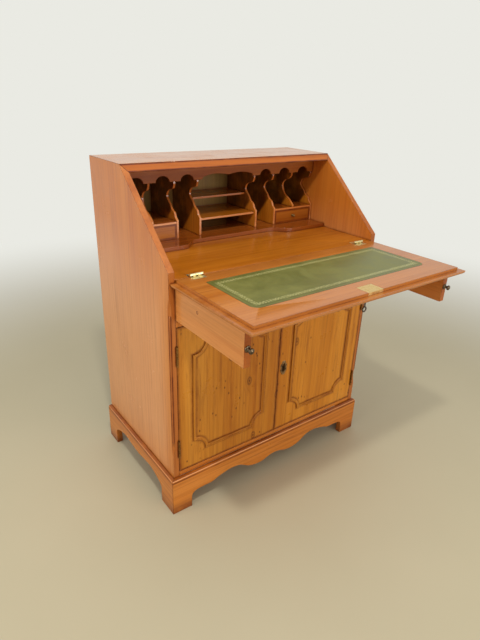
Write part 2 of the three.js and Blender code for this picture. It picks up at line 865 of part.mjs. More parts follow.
// Planted moulding of a door: a band around the notched panel, round on its outer edge,
// hollow on its inner edge and flat at the back.
function doorMouldingGeometry(lowX, highX) {
  const lowZ = doorMouldingEndMargin;
  const highZ = doorHeight - doorMouldingEndMargin;
  const round = doorMouldingRound;
  const width = doorMouldingWidth;
  const outer = notchedOutline(
    lowX + round,
    lowZ + round,
    highX - round,
    highZ - round,
    doorNotchRadius + round,
    round,
    doorNotchEar,
  );
  const inner = notchedOutline(
    lowX + width,
    lowZ + width,
    highX - width,
    highZ - width,
    doorNotchRadius + width,
    width,
    0,
  );
  const rounded = {
    bevelEnabled: true,
    bevelSize: round,
    bevelThickness: round,
    bevelSegments: doorMouldingSteps,
  };
  const slab = new THREE.ExtrudeGeometry(new THREE.Shape(outer), {
    depth: doorMouldingHeight,
    ...rounded,
  });
  slab.rotateX(Math.PI / 2).translate(0, round, 0);
  const hollow = new THREE.ExtrudeGeometry(new THREE.Shape(inner), { depth: cutOverrun, ...rounded });
  hollow.rotateX(Math.PI / 2).translate(0, -doorMouldingHeight, 0);
  const through = extrudeForward(new THREE.Shape(inner), doorMouldingHeight + 2 * cutOverrun);
  through.translate(0, cutOverrun, 0);
  const behind = block(
    [lowX - cutOverrun, 0, lowZ - cutOverrun],
    [highX + cutOverrun, doorMouldingHeight + cutOverrun, highZ + cutOverrun],
  );
  return cut(slab, [hollow, through, behind]);
}

function escutcheonGeometry() {
  const half = escutcheonWidth / 2;
  const tall = escutcheonHeight / 2;
  const right = escutcheonShares.map(([across, up]) => new THREE.Vector2(across * half, up * tall));
  const left = right.map((point) => new THREE.Vector2(-point.x, point.y)).reverse();
  const shape = new THREE.Shape([...right, ...left]);
  const hole = new THREE.Path();
  const slotAngle = Math.asin(keyholeSlot / 2 / keyholeRadius);
  const slotEnd = keyholeRise - keyholeLength;
  hole.absarc(0, keyholeRise, keyholeRadius, slotAngle - Math.PI / 2, 1.5 * Math.PI - slotAngle, false);
  hole.lineTo(-keyholeSlot / 2, slotEnd);
  hole.lineTo(keyholeSlot / 2, slotEnd);
  shape.holes.push(hole);
  return extrudeForward(shape, escutcheonThickness, keyholeSteps);
}

const doorHinge = {
  length: doorHingeLength,
  radius: doorHingeRadius,
  leafWidth: doorHingeLeafWidth,
  leafLow: -doorHingeLeafThickness - leafPairGap / 2,
  leafHigh: -leafPairGap / 2,
  tongueHigh: -leafPairGap / 2,
};

// Stands a hinge half upright: its leaf runs back and lies on the side named by towards.
function uprightHinge(name, odd, towards, place) {
  const geometry = hingeHalf(doorHinge, odd);
  const turn = new THREE.Matrix4().makeBasis(
    new THREE.Vector3(0, 0, towards),
    new THREE.Vector3(0, 1, 0),
    new THREE.Vector3(-towards, 0, 0),
  );
  return piece(name, "brightBrass", geometry.applyMatrix4(turn), place);
}

// A door in its own frame: the pin is at x = y = 0 and the bottom edge at z = 0.
function makeDoor(label, side) {
  const group = new THREE.Group();
  group.position.set(side * doorPinX, frontY - doorHingePinOffset, doorBottom);
  const inward = -side;
  const xs = [inward * doorNearEdge, inward * doorFarEdge].sort((a, b) => a - b);
  const faceY = doorHingePinOffset;
  const slab = block([xs[0], faceY, 0], [xs[1], faceY + doorThickness, doorHeight]);
  const depth = doorHingeLeafThickness + leafPairGap / 2 + glueSeam;
  const pockets = doorHingeHeights.map((height) => {
    const half = doorHingeLength / 2 + glueSeam;
    const edges = [-inward * cutOverrun, inward * depth].sort((a, b) => a - b);
    return block(
      [edges[0], faceY - cutOverrun, height - half],
      [edges[1], doorHingeLeafWidth + glueSeam, height + half],
    );
  });
  group.add(piece(`door_${label}`, "doorWood", cut(slab, pockets)));

  const mouldingXs = [
    inward * (doorNearEdge + doorMouldingSideMargin),
    inward * (doorFarEdge - doorMouldingMiddleMargin),
  ].sort((a, b) => a - b);
  const moulding = doorMouldingGeometry(mouldingXs[0], mouldingXs[1]);
  group.add(piece(`door_moulding_${label}`, "mouldingWood", moulding, [0, faceY - glueSeam, 0]));

  doorHingeHeights.forEach((height, i) => {
    const level = i === 0 ? "lower" : "upper";
    group.add(uprightHinge(`door_hinge_leaf_${label}_${level}`, true, inward, [0, 0, height]));
  });
  return group;
}

function makeEscutcheon() {
  const middle = (doorBottom + doorTop) / 2 - escutcheonDrop;
  const place = [escutcheonInset, frontY - glueSeam, middle];
  return piece("door_escutcheon", "brass", escutcheonGeometry(), place);
}

function makeDoorCaseHinges(label, side) {
  return doorHingeHeights.map((height, i) => {
    const level = i === 0 ? "lower" : "upper";
    const place = [side * doorPinX, frontY - doorHingePinOffset, doorBottom + height];
    return uprightHinge(`door_hinge_case_${label}_${level}`, false, side, place);
  });
}

const fallHinge = {
  length: fallHingeLength,
  radius: fallHingeRadius,
  leafWidth: fallHingeLeafWidth,
  leafLow: fallTop - fallHingeLeafThickness,
  leafHigh: fallTop,
  tongueHigh: 0,
};

function leatherOutline(margin) {
  const half = fieldHalf - leatherSideMargin + margin;
  const rear = margin - leatherRearMargin;
  const front = leatherFrontMargin - fieldReach - margin;
  const big = leatherFrontRadius + margin;
  const small = leatherRearRadius + margin;
  const shape = new THREE.Shape();
  shape.moveTo(-half + big, front);
  shape.lineTo(half - big, front);
  shape.absarc(half - big, front + big, big, -Math.PI / 2, 0, false);
  shape.lineTo(half, rear - small);
  shape.absarc(half - small, rear - small, small, 0, Math.PI / 2, false);
  shape.lineTo(-half + small, rear);
  shape.absarc(-half + small, rear - small, small, Math.PI / 2, Math.PI, false);
  shape.lineTo(-half, front + big);
  shape.absarc(-half + big, front + big, big, Math.PI, 1.5 * Math.PI, false);
  return shape;
}

function leatherSkin(margin, low, high) {
  return extrudeUp(leatherOutline(margin), high - low, leatherCornerSteps).translate(0, 0, low);
}

// Lipped board of the fall, in a frame whose x axis is the hinge pin. The lip is flat above
// and round below.
function fallSlab() {
  const shape = outline([
    [-fallHalfWidth + lipRoundWidth, -fallReach + lipRoundWidth],
    [fallHalfWidth - lipRoundWidth, -fallReach + lipRoundWidth],
    [fallHalfWidth - lipRoundWidth, cutOverrun],
    [-fallHalfWidth + lipRoundWidth, cutOverrun],
  ]);
  const rounded = new THREE.ExtrudeGeometry(shape, {
    depth: lipThickness - lipRoundHeight,
    bevelEnabled: true,
    bevelSize: lipRoundWidth,
    bevelThickness: lipRoundHeight,
    bevelSegments: lipRoundSteps,
  });
  rounded.translate(0, 0, fallBottom + lipRoundHeight);
  const above = block(
    [-fallHalfWidth - cutOverrun, -fallReach - cutOverrun, fallBottom + lipThickness],
    [fallHalfWidth + cutOverrun, lipRoundWidth + cutOverrun, fallTop + cutOverrun],
  );
  const field = block([-fieldHalf, -fieldReach, fallBottom + lipRoundHeight], [fieldHalf, 0, fallTop]);
  const rear = block(
    [-fallHalfWidth - cutOverrun, -fallRearGap, fallBottom - cutOverrun],
    [fallHalfWidth + cutOverrun, lipRoundWidth + 2 * cutOverrun, fallTop + cutOverrun],
  );
  return cut(join(cut(rounded, [above]), [field]), [rear]);
}

// Box about the lock's middle, from a reach on the fall to another, below the fall's surface.
function lockBlock(width, fromReach, toReach, deep, shallow) {
  return block(
    [lockMiddle - width / 2, -toReach, fallTop - deep],
    [lockMiddle + width / 2, -fromReach, fallTop - shallow],
  );
}

// Hole for the key and its bit, from one height to another.
function keyBore(low, high, radius) {
  const round = cylinderAlongZ(radius, low, high, hingeSides);
  const half = keyBitThickness / 2 + keyClearance;
  const slot = block([-half, 0, low], [half, keyBitLength + keyClearance, high]);
  return join(round, [slot]).translate(keyMiddle, -keyReach, 0);
}

function makeFallBoard() {
  const selvedgeStart = fieldReach - lockPlateThickness;
  const caseStart = selvedgeStart - lockCaseDepth;
  const seam = 2 * glueSeam;
  const tools = [
    leatherSkin(glueSeam, fallTop - leatherThickness - glueSeam, fallTop + cutOverrun),
    fallHingePocket(-fallHingeMiddle, fallTop, false),
    fallHingePocket(fallHingeMiddle, fallTop, false),
    lockBlock(
      lockPlateWidth + seam,
      fieldReach - lockPlateDepth - glueSeam,
      fieldReach + cutOverrun,
      lockPlateThickness + glueSeam,
      -cutOverrun,
    ),
    lockBlock(
      lockCaseWidth + seam,
      caseStart - glueSeam,
      selvedgeStart,
      lockPlateThickness + lockCaseHeight + glueSeam,
      0,
    ),
    lockBlock(
      lockPlateWidth + seam,
      selvedgeStart - glueSeam,
      fieldReach + cutOverrun,
      selvedgeHeight + glueSeam,
      0,
    ),
    keyBore(fallBottom - cutOverrun, fallTop - lockPlateThickness, keyShaftRadius + keyClearance),
  ];
  return piece("fall_board", "caseWood", cut(fallSlab(), tools));
}

// Cut lock: a plate flush with the fall's inner face, a case below it and a selvedge in front,
// with a channel for the bolt and a round room for the key's bit.
function makeLock() {
  const selvedgeStart = fieldReach - lockPlateThickness;
  const plate = lockBlock(lockPlateWidth, fieldReach - lockPlateDepth, fieldReach, lockPlateThickness, 0);
  const lockCase = lockBlock(
    lockCaseWidth,
    selvedgeStart - lockCaseDepth,
    selvedgeStart,
    lockPlateThickness + lockCaseHeight,
    0,
  );
  const selvedge = lockBlock(lockPlateWidth, selvedgeStart, fieldReach, selvedgeHeight, 0);
  const channel = lockBlock(
    boltWidth + 2 * boltClearance,
    fieldReach - boltLength - boltClearance,
    fieldReach + cutOverrun,
    lockPlateThickness + boltRoom,
    lockPlateThickness,
  );
  const roomTop = fallBottom + keyInsertion + keyClearance;
  const roomBottom = roomTop - keyBitHeight - 2 * keyClearance;
  const roomRadius = keyBitLength + keyClearance;
  const room = cylinderAlongZ(roomRadius, roomBottom, roomTop, knobSides);
  room.translate(keyMiddle, -keyReach, 0);
  const bore = keyBore(fallBottom, roomBottom + keyClearance, keyShaftRadius + keyClearance);
  const body = join(plate, [lockCase, selvedge]);
  return piece("fall_lock", "brightBrass", cut(body, [channel, room, bore]));
}

function makeBolt() {
  const width = boltWidth;
  const length = boltLength - boltClearance;
  const height = boltThickness;
  const middle = fallTop - lockPlateThickness - boltClearance - height / 2;
  const place = [lockMiddle, -fieldReach + length / 2 + boltClearance / 2, middle];
  return piece("fall_lock_bolt", "brightBrass", new THREE.BoxGeometry(width, length, height), place);
}

// Key that hangs in the lock: z = 0 is the outer face of the fall, and the bow is below it.
function makeKey() {
  const shaft = cylinderAlongZ(keyShaftRadius, -keyShankLength, keyInsertion, hingeSides);
  const collarBottom = -keyCollarDrop - keyCollarLength;
  const collar = turned(
    [
      [0, collarBottom],
      [keyShaftRadius, collarBottom],
      [keyCollarRadius, collarBottom + keyCollarLength / 2],
      [keyShaftRadius, -keyCollarDrop],
      [0, -keyCollarDrop],
    ],
    hingeSides,
  );
  const bow = new THREE.TorusGeometry(keyBowRadius, keyBowTube, keyBowSides, keyBowSteps);
  bow.rotateX(Math.PI / 2);
  bow.translate(0, 0, -keyShankLength - keyBowRadius);
  const bit = block(
    [-keyBitThickness / 2, 0, keyInsertion - keyBitHeight],
    [keyBitThickness / 2, keyBitLength, keyInsertion],
  );
  const geometry = join(shaft, [collar, bow, bit]);
  return piece("key", "steel", geometry, [keyMiddle, -keyReach, fallBottom]);
}

// The fall and all that it carries, in a group whose x axis is the hinge pin.
function makeFall() {
  const group = new THREE.Group();
  group.position.set(0, frontY, pinHeight);
  const leather = leatherSkin(0, fallTop - leatherThickness, fallTop);
  group.add(makeFallBoard());
  group.add(piece("fall_leather", "leather", leather));
  group.add(makeLock());
  group.add(makeBolt());
  group.add(makeKey());
  [["left", -fallHingeMiddle], ["right", fallHingeMiddle]].forEach(([label, middle]) => {
    const geometry = hingeHalf(fallHinge, true).scale(1, -1, 1);
    group.add(piece(`fall_hinge_leaf_${label}`, "brightBrass", facesOut(geometry), [middle, 0, 0]));
  });
  return group;
}

function makeFallCaseHinge(label, middle) {
  const place = [middle, frontY, pinHeight];
  return piece(`fall_hinge_case_${label}`, "brightBrass", hingeHalf(fallHinge, false), place);
}

// Base board of the pigeonhole unit, whose front curves back between two wings.
function makeUnitBase() {
  const wingY = unitFrontY - unitBaseWingStep;
  const middleY = unitFrontY - unitBaseMiddleStep;
  const wingX = boardHalf - unitBaseWingWidth;
  const middleX = wingX - unitBaseCurveWidth;
  const bendX = (wingX + middleX) / 2;
  const shape = new THREE.Shape();
  shape.moveTo(-boardHalf, innerBackY);
  shape.lineTo(-boardHalf, wingY);
  shape.lineTo(-wingX, wingY);
  shape.bezierCurveTo(-bendX, wingY, -bendX, middleY, -middleX, middleY);
  shape.lineTo(middleX, middleY);
  shape.bezierCurveTo(bendX, middleY, bendX, wingY, wingX, wingY);
  shape.lineTo(boardHalf, wingY);
  shape.lineTo(boardHalf, innerBackY);
  const slab = extrudeUp(shape, unitBaseThickness - glueSeam, unitBaseSteps);
  return piece("pigeonhole_base", "insideWood", slab, [0, 0, writingHeight + glueSeam]);
}

// Divider with a scrolled front edge, from its lower edge to the top board.
// Its neck passes behind the frieze.
function makeDivider(name, thickness, left, low, footShare, shares) {
  const high = topUnderside - glueSeam;
  const atShare = ([back, up]) =>
    new THREE.Vector2(unitFrontY + back * unitDepth, low + up * (neckHeight - low));
  const neckY = friezeBackY + glueSeam;
  const foot = atShare([0, footShare]);
  const shape = new THREE.Shape();
  shape.moveTo(innerBackY, low);
  shape.lineTo(foot.x, low);
  shape.lineTo(foot.x, foot.y);
  shape.splineThru([...shares.map(atShare), new THREE.Vector2(neckY, neckHeight)]);
  shape.lineTo(neckY, high);
  shape.lineTo(innerBackY, high);
  return piece(name, "insideWood", extrudeAcross(shape, thickness, dividerSteps), [left, 0, 0]);
}

function makeFullDivider(name, thickness, left) {
  const low = unitFloor + glueSeam;
  return makeDivider(name, thickness, left, low, dividerFootShare, dividerShares);
}

function makeShortDivider(name, left) {
  const low = drawerTopSurface + glueSeam;
  return makeDivider(name, partitionBoard, left, low, shortDividerFootShare, shortDividerShares);
}

// Adds an arch to the lower edge of the frieze.
function addArch(shape, middle) {
  const radius = archWidth / 2;
  shape.lineTo(middle - radius, friezeBottom);
  shape.absellipse(middle, friezeBottom, radius, archRise, Math.PI, 0, true, 0);
}

function makeFrieze() {
  const bays = [
    (outerDividerMiddle + innerDividerMiddle) / 2,
    (shortDividerMiddle + outerDividerMiddle) / 2,
    (endPanelFace + shortDividerMiddle) / 2,
  ];
  const archHalf = innerDividerMiddle - partitionBoard / 2 - centreArchMargin;
  const shoulder = friezeBottom + centreArchStep;
  const crown = friezeBottom + 2 * centreArchRise - centreArchStep;
  const shape = new THREE.Shape();
  shape.moveTo(-boardHalf, topUnderside - glueSeam);
  shape.lineTo(-boardHalf, friezeBottom);
  [...bays].reverse().forEach((middle) => addArch(shape, -middle));
  shape.lineTo(-archHalf, friezeBottom);
  shape.quadraticCurveTo(-archHalf, shoulder, -archHalf + centreArchStep, shoulder);
  shape.quadraticCurveTo(-archHalf / 2, crown, 0, shoulder);
  shape.quadraticCurveTo(archHalf / 2, crown, archHalf - centreArchStep, shoulder);
  shape.quadraticCurveTo(archHalf, shoulder, archHalf, friezeBottom);
  bays.forEach((middle) => addArch(shape, middle));
  shape.lineTo(boardHalf, friezeBottom);
  shape.lineTo(boardHalf, topUnderside - glueSeam);
  const geometry = extrudeForward(shape, friezeThickness, archSteps);
  return piece("pigeonhole_frieze", "insideWood", geometry, [0, friezeBackY, 0]);
}

function makeDrawerTop(name, side) {
  const inner = outerDividerMiddle + partitionBoard / 2 + glueSeam;
  const outer = endPanelFace - glueSeam;
  const xs = [side * inner, side * outer].sort((a, b) => a - b);
  return board(
    name,
    "insideWood",
    [xs[0], unitFrontY, drawerTopBottom],
    [xs[1], innerBackY, drawerTopSurface],
  );
}

function makeCentreShelf(name, height, setback) {
  const half = innerDividerMiddle - partitionBoard / 2 - glueSeam;
  const top = unitFloor + height;
  return board(
    name,
    "insideWood",
    [-half, unitFrontY + setback, top - centreShelfThickness],
    [half, innerBackY, top],
  );
}

function makePigeonholes() {
  const half = partitionBoard / 2;
  return [
    makeUnitBase(),
    makeFullDivider("end_panel_left", endPanelThickness, -boardHalf),
    makeFullDivider("end_panel_right", endPanelThickness, endPanelFace),
    makeFullDivider("divider_outer_left", partitionBoard, -outerDividerMiddle - half),
    makeFullDivider("divider_outer_right", partitionBoard, outerDividerMiddle - half),
    makeFullDivider("divider_inner_left", partitionBoard, -innerDividerMiddle - half),
    makeFullDivider("divider_inner_right", partitionBoard, innerDividerMiddle - half),
    makeShortDivider("divider_short_left", -shortDividerMiddle - half),
    makeShortDivider("divider_short_right", shortDividerMiddle - half),
    makeDrawerTop("drawer_top_left", -1),
    makeDrawerTop("drawer_top_right", 1),
    makeCentreShelf("centre_shelf_lower", lowerShelfHeight, lowerShelfSetback),
    makeCentreShelf("centre_shelf_upper", upperShelfHeight, upperShelfSetback),
    makeFrieze(),
    makeSmallDrawer("left", -1),
    makeSmallDrawer("right", 1),
  ];
}

function makeCase() {
  return [
    makeSide("side_left", -1),
    makeSide("side_right", 1),
    makeTop(),
    makeWritingBoard(),
    ...makeCaseBoards(),
    makeLoperPartition("loper_partition_left", -1),
    makeLoperPartition("loper_partition_right", 1),
    makePlinthFront(),
    makePlinthSide("plinth_side_left", -1),
    makePlinthSide("plinth_side_right", 1),
    makeFallCaseHinge("left", -fallHingeMiddle),
    makeFallCaseHinge("right", fallHingeMiddle),
    ...makeDoorCaseHinges("left", -1),
    ...makeDoorCaseHinges("right", 1),
  ];
}

// The origin is under the middle of the whole piece with its fall open, on the floor
const secretaire = new THREE.Group();
secretaire.position.y = fallReach / 2;
secretaire.add(
  ...makeCase(),
  ...makePigeonholes(),
  makeFall(),
  makeLoper("left", -1),
  makeLoper("right", 1),
  makeLongDrawer(),
  makeDoor("left", -1),
  makeDoor("right", 1),
  makeEscutcheon(),
);

export default secretaire;
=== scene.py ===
"""Fall front secretaire: polished veneer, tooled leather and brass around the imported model.

Lengths are in metres, in the model's own frame: +X is the right, +Y the back, +Z up.
Angles are in radians. Colours are written as red, green and blue from 0 to 255, as seen.
"""
import json
import math
from functools import reduce

import bmesh
import bpy
import numpy as np
from mathutils import Matrix, Vector


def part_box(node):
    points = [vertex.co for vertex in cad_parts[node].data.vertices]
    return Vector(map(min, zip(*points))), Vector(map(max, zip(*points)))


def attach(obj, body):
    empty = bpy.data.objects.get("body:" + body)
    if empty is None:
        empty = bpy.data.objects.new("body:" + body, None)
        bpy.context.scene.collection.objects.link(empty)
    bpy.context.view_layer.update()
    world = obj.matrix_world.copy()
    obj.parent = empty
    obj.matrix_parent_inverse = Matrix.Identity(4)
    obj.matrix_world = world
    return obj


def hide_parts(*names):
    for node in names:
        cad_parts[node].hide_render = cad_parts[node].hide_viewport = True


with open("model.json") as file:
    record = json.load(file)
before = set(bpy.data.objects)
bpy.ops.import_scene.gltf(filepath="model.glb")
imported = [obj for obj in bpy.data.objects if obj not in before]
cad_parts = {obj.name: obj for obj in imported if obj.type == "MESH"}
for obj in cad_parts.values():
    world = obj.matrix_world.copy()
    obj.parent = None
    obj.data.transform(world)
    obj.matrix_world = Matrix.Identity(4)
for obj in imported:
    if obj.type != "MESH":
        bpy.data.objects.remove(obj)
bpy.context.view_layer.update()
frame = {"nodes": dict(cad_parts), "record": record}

MM = 0.001
TURN = 2 * math.pi


def mm(*lengths):
    """Lengths written in millimetres."""
    return tuple(length * MM for length in lengths)


# Camera: its place, its turn to the right of +Y, its dip and its roll, its focus and the middle
# of its picture, and how near it sees
CAMERA_PLACE = (-0.913762, -1.068388, 1.159904)
CAMERA_YAW = 0.647
CAMERA_DIP = 0.43
CAMERA_ROLL = 0.036
CAMERA_FOCUS_PIXELS = 493.02
CAMERA_MIDDLE_PIXELS = (0.581, 0.453)
PICTURE_HEIGHT_PIXELS = 640
SENSOR_MM = 36
NEAR_LIMIT = 0.01

# Which body and which slot each node of the model belongs to
record = frame["record"]
BODY_OF = {node: body for body, nodes in record["behaviour"]["bodies"].items() for node in nodes}
SLOT_OF = {entry["node"]: entry["material_slot"] for entry in record["subparts"]}


# Colours and node trees

def seen(red, green, blue):
    """A colour written as seen, as the linear values that a shader takes, by the sRGB curve."""
    value = np.array([red, green, blue]) / 255
    linear = np.where(value <= 0.04045, value / 12.92, ((value + 0.055) / 1.055) ** 2.4)
    return (*linear.tolist(), 1)


class Nodes:
    """The tree of a material or a world, whose nodes are put in one by one. Each call gives
    back a node's output."""

    def __init__(self, owner):
        owner.use_nodes = True
        self.tree = owner.node_tree

    def node(self, kind, inputs=(), **settings):
        node = self.tree.nodes.new("ShaderNode" + kind)
        for key, value in settings.items():
            setattr(node, key, value)
        pairs = inputs.items() if isinstance(inputs, dict) else enumerate(inputs)
        for key, value in pairs:
            self.fill(node.inputs[key], value)
        return node

    def put(self, kind, inputs=(), output=0, **settings):
        return self.node(kind, inputs, **settings).outputs[output]

    def fill(self, socket, value):
        if isinstance(value, bpy.types.NodeSocket):
            self.tree.links.new(value, socket)
        else:
            socket.default_value = value

    def show(self, shader, output):
        """Links a shader to the tree's output node."""
        self.fill(self.tree.nodes[output].inputs["Surface"], shader)

    def math(self, operation, *values):
        return self.put("Math", values, operation=operation)

    def sum(self, *terms):
        return reduce(lambda total, term: self.math("ADD", total, term), terms)

    def most(self, *terms):
        return reduce(lambda total, term: self.math("MAXIMUM", total, term), terms)

    def times(self, first, second):
        return self.math("MULTIPLY", first, second)

    def less(self, first, second):
        return self.math("SUBTRACT", first, second)

    def size_of(self, value):
        return self.math("ABSOLUTE", value)


# The normal's y at which a face stops looking to the front, the open share of the sky over a
# corner and over open ground, and how far a rounded normal leaves the true one at an arris
TO_FRONT = (-0.7, -0.5)
OPEN_SKY = (0.45, 0.95)
ARRIS_TURN = 0.08


class Shading(Nodes):
    """A material, with the patterns that the finishes share."""

    def __init__(self, name):
        self.material = bpy.data.materials.new(name)
        super().__init__(self.material)
        self.shader = self.tree.nodes["Principled BSDF"]

    def shade(self, **values):
        """Fills the shader's sockets: base_color goes to Base Color, and so on."""
        for key, value in values.items():
            name = key.replace("_", " ").title().replace("Ior", "IOR")
            self.fill(self.shader.inputs[name], value)

    def span(self, value, low, high, to_low=0.0, to_high=1.0):
        """Maps value from low..high to to_low..to_high by a smooth step, clamped."""
        inputs = (value, low, high, to_low, to_high)
        return self.put("MapRange", inputs, interpolation_type="SMOOTHSTEP")

    def mix(self, share, first, second):
        """Passes from one colour to another, where each is a node's output or is written as
        seen. Sockets 6, 7 and 2 are a Mix node's colours."""
        first, second = (seen(*c) if isinstance(c, tuple) else c for c in (first, second))
        return self.put("Mix", {0: share, 6: first, 7: second}, 2, data_type="RGBA")

    def choose(self, share, first, second):
        """Passes from one number to another: sockets 2 and 3 are a Mix node's numbers."""
        return self.put("Mix", {0: share, 2: first, 3: second}, data_type="FLOAT")

    def noise(self, vector, scale, detail=2.0, roughness=0.5, distortion=0.0):
        return self.put("TexNoise", {"Vector": vector, "Scale": scale, "Detail": detail,
                                     "Roughness": roughness, "Distortion": distortion})

    def stretched(self, vector, scales):
        return self.put("VectorMath", (vector, scales), operation="MULTIPLY")

    def parts(self, vector):
        return tuple(self.node("SeparateXYZ", (vector,)).outputs)

    def length(self, x, y):
        flat = self.put("CombineXYZ", (x, y, 0.0))
        return self.put("VectorMath", (flat,), "Value", operation="LENGTH")

    def place(self):
        return self.put("TexCoord", output="Object")

    def spot(self):
        """The x, y and z of the place."""
        return self.parts(self.place())

    def facing(self):
        """The three parts of the surface's own normal in its object's frame."""
        return self.parts(self.put("TexCoord", output="Normal"))

    def to_front(self):
        """1 on faces to the front, and 0 on the others."""
        return self.span(self.facing()[1], *TO_FRONT, 1.0, 0.0)

    def bump(self, height, distance, strength=1.0):
        return self.put("Bump", {"Height": height, "Distance": distance, "Strength": strength})

    def line(self, value, middle, half_width, soft):
        """1 within half_width of middle, with a soft edge."""
        away = self.size_of(self.less(value, middle))
        return self.span(away, half_width, half_width + soft, 1.0, 0.0)

    def past(self, value, middle, half):
        """How far value lies past a half width from a middle, which is below 0 inside."""
        return self.less(self.size_of(self.less(value, middle)), half)

    def repeated(self, value, pitch):
        """The distance from the middle of a step of a row, with its sign."""
        return self.less(self.math("FLOORED_MODULO", value, pitch), pitch / 2)

    def edges(self, radius):
        """0 on flat ground and 1 near an arris or a corner: how far a rounded normal leaves
        the true one."""
        rounded = self.put("Bevel", {"Radius": radius}, samples=4)
        true = self.put("NewGeometry", output="Normal")
        agree = self.put("VectorMath", (rounded, true), "Value", operation="DOT_PRODUCT")
        return self.span(agree, 1 - ARRIS_TURN, 1.0, 1.0, 0.0)

    def corners(self, reach):
        """1 deep in a corner between faces and 0 in the open."""
        light = self.put("AmbientOcclusion", {"Distance": reach}, "AO", samples=6)
        return self.span(light, *OPEN_SKY, 1.0, 0.0)


# Finishes

GRAIN_TURNS = {"X": (0, math.pi / 2, 0), "Y": (math.pi / 2, 0, 0), "Z": (0, 0, 0)}
# Red brown for stain and grain, also laid on as the shade painted in corners and on some edges
STAIN = (104, 40, 10)
DEEP_STAIN = (70, 26, 10)
# A painted highlight, on the plinth's moulding
PAINTED_HIGHLIGHT = (244, 186, 138)
# A painted shadow, on the dividers
PAINTED_SHADOW = (56, 20, 8)

# Painted reflection: a pale band across the sides, weaker in front. A line or band is its
# middle, its half width and its soft edge
SHEEN_BAND = mm(420, 130, 320)
SHEEN_FADE = 75 * MM
SHEEN_IN_FRONT = 0.2
SHEEN_SHARE = 0.6

# Noises of a veneer: how far each shrinks along the grain, which draws it out there, and then
# its scale, detail, roughness and distortion
VEINS = {
    "bands": (0.05, 15, 3, 0.55),
    "streaks": (0.018, 150, 4, 0.65),
    "flames": (0.09, 42, 4, 0.7, 0.4),
    "fibres": (0.03, 700, 3, 0.6),
    "push": (0.2, 5, 2, 0.5, 0.3),
    "uneven": (0.12, 36, 2),
}

# The ranges of these noises in which one tone passes into the next
DARK_TO_MIDDLE = (0.3, 0.52)
MIDDLE_TO_LIGHT = (0.5, 0.72)
DARK_STREAK = (0.46, 0.72)
LIGHT_STREAK = (0.3, 0.46)
DARK_FLAME = (0.52, 0.7)
DARK_FIBRE = (0.42, 0.72)
STRONG_LINE = (0.35, 0.75)
WORN = (0.3, 0.62, 0.55, 1.0)

# Knots and pips: cells to a metre, their lengthening along the grain, and in shares of a cell
# how far a knot pushes the growth lines, its core, its ring and the edge of a pip
KNOT_CELLS = 11.0
KNOT_LENGTHENED = 0.6
KNOT_REACH = 0.35
KNOT_PUSH = 1.6
KNOT_CORE = (0.015, 0.045)
KNOT_RING = (0.075, 0.01, 0.03)
KNOT_RING_SHARE = 0.6
PIP_CELLS = 70.0
PIP_SHARE = 0.3
PIP_EDGE = (0.1, 0.22)
PIP_CLUSTERS = (0.5, 0.62)


def vein(s, turned, kind):
    """One of a veneer's noises, drawn out along the third axis."""
    shrink, *settings = VEINS[kind]
    return s.noise(s.stretched(turned, (1, 1, shrink)), *settings)


def scattered(s, flat, cells, share):
    """Cells of a flat pattern: the distance to the nearest one's middle, and whether it is in
    the share that shows."""
    node = s.node("TexVoronoi", {"Vector": flat, "Scale": cells}, voronoi_dimensions="2D")
    chance = s.put("SeparateColor", (node.outputs["Color"],))
    return node.outputs["Distance"], s.math("LESS_THAN", chance, share)


def growth(s, turned, rings, wander, knots):
    """Growth lines and dark spots of a veneer whose grain runs along the third axis, each from
    0 to 1. The lines are the crests of a sine of the place across the grain, pushed aside by
    slow noise and by each knot. Spots are knots and, in clusters, pips."""
    across_a, across_b, along = s.parts(turned)
    across = s.sum(across_a, across_b)
    flat = s.put("CombineXYZ", (across, s.times(along, KNOT_LENGTHENED), 0.0))
    near, chosen = scattered(s, flat, KNOT_CELLS, knots)
    swell = s.times(s.span(near, 0.0, KNOT_REACH, 1.0, 0.0), chosen)
    phase = s.sum(s.times(across, rings), s.times(vein(s, turned, "push"), wander),
                  s.times(swell, KNOT_PUSH))
    wave = s.math("SINE", s.times(phase, TURN))
    lines = s.times(s.span(wave, 0.0, 1.0), s.span(vein(s, turned, "uneven"), *STRONG_LINE))
    core = s.times(s.span(near, *KNOT_CORE, 1.0, 0.0), chosen)
    ring = s.times(s.line(near, *KNOT_RING), s.times(chosen, KNOT_RING_SHARE))
    away, kept = scattered(s, flat, PIP_CELLS, PIP_SHARE)
    cluster = s.span(s.noise(flat, 9.0, 2.0), *PIP_CLUSTERS, 0.0, min(1.0, 2.4 * knots))
    pips = s.times(s.span(away, *PIP_EDGE, 1.0, 0.0), s.times(kept, cluster))
    return lines, s.math("MINIMUM", s.sum(core, ring, pips), 1.0)


ARRIS_REACH = 1.6 * MM
CORNER_REACH = 7 * MM
GRAIN_DEPTH = 0.1 * MM


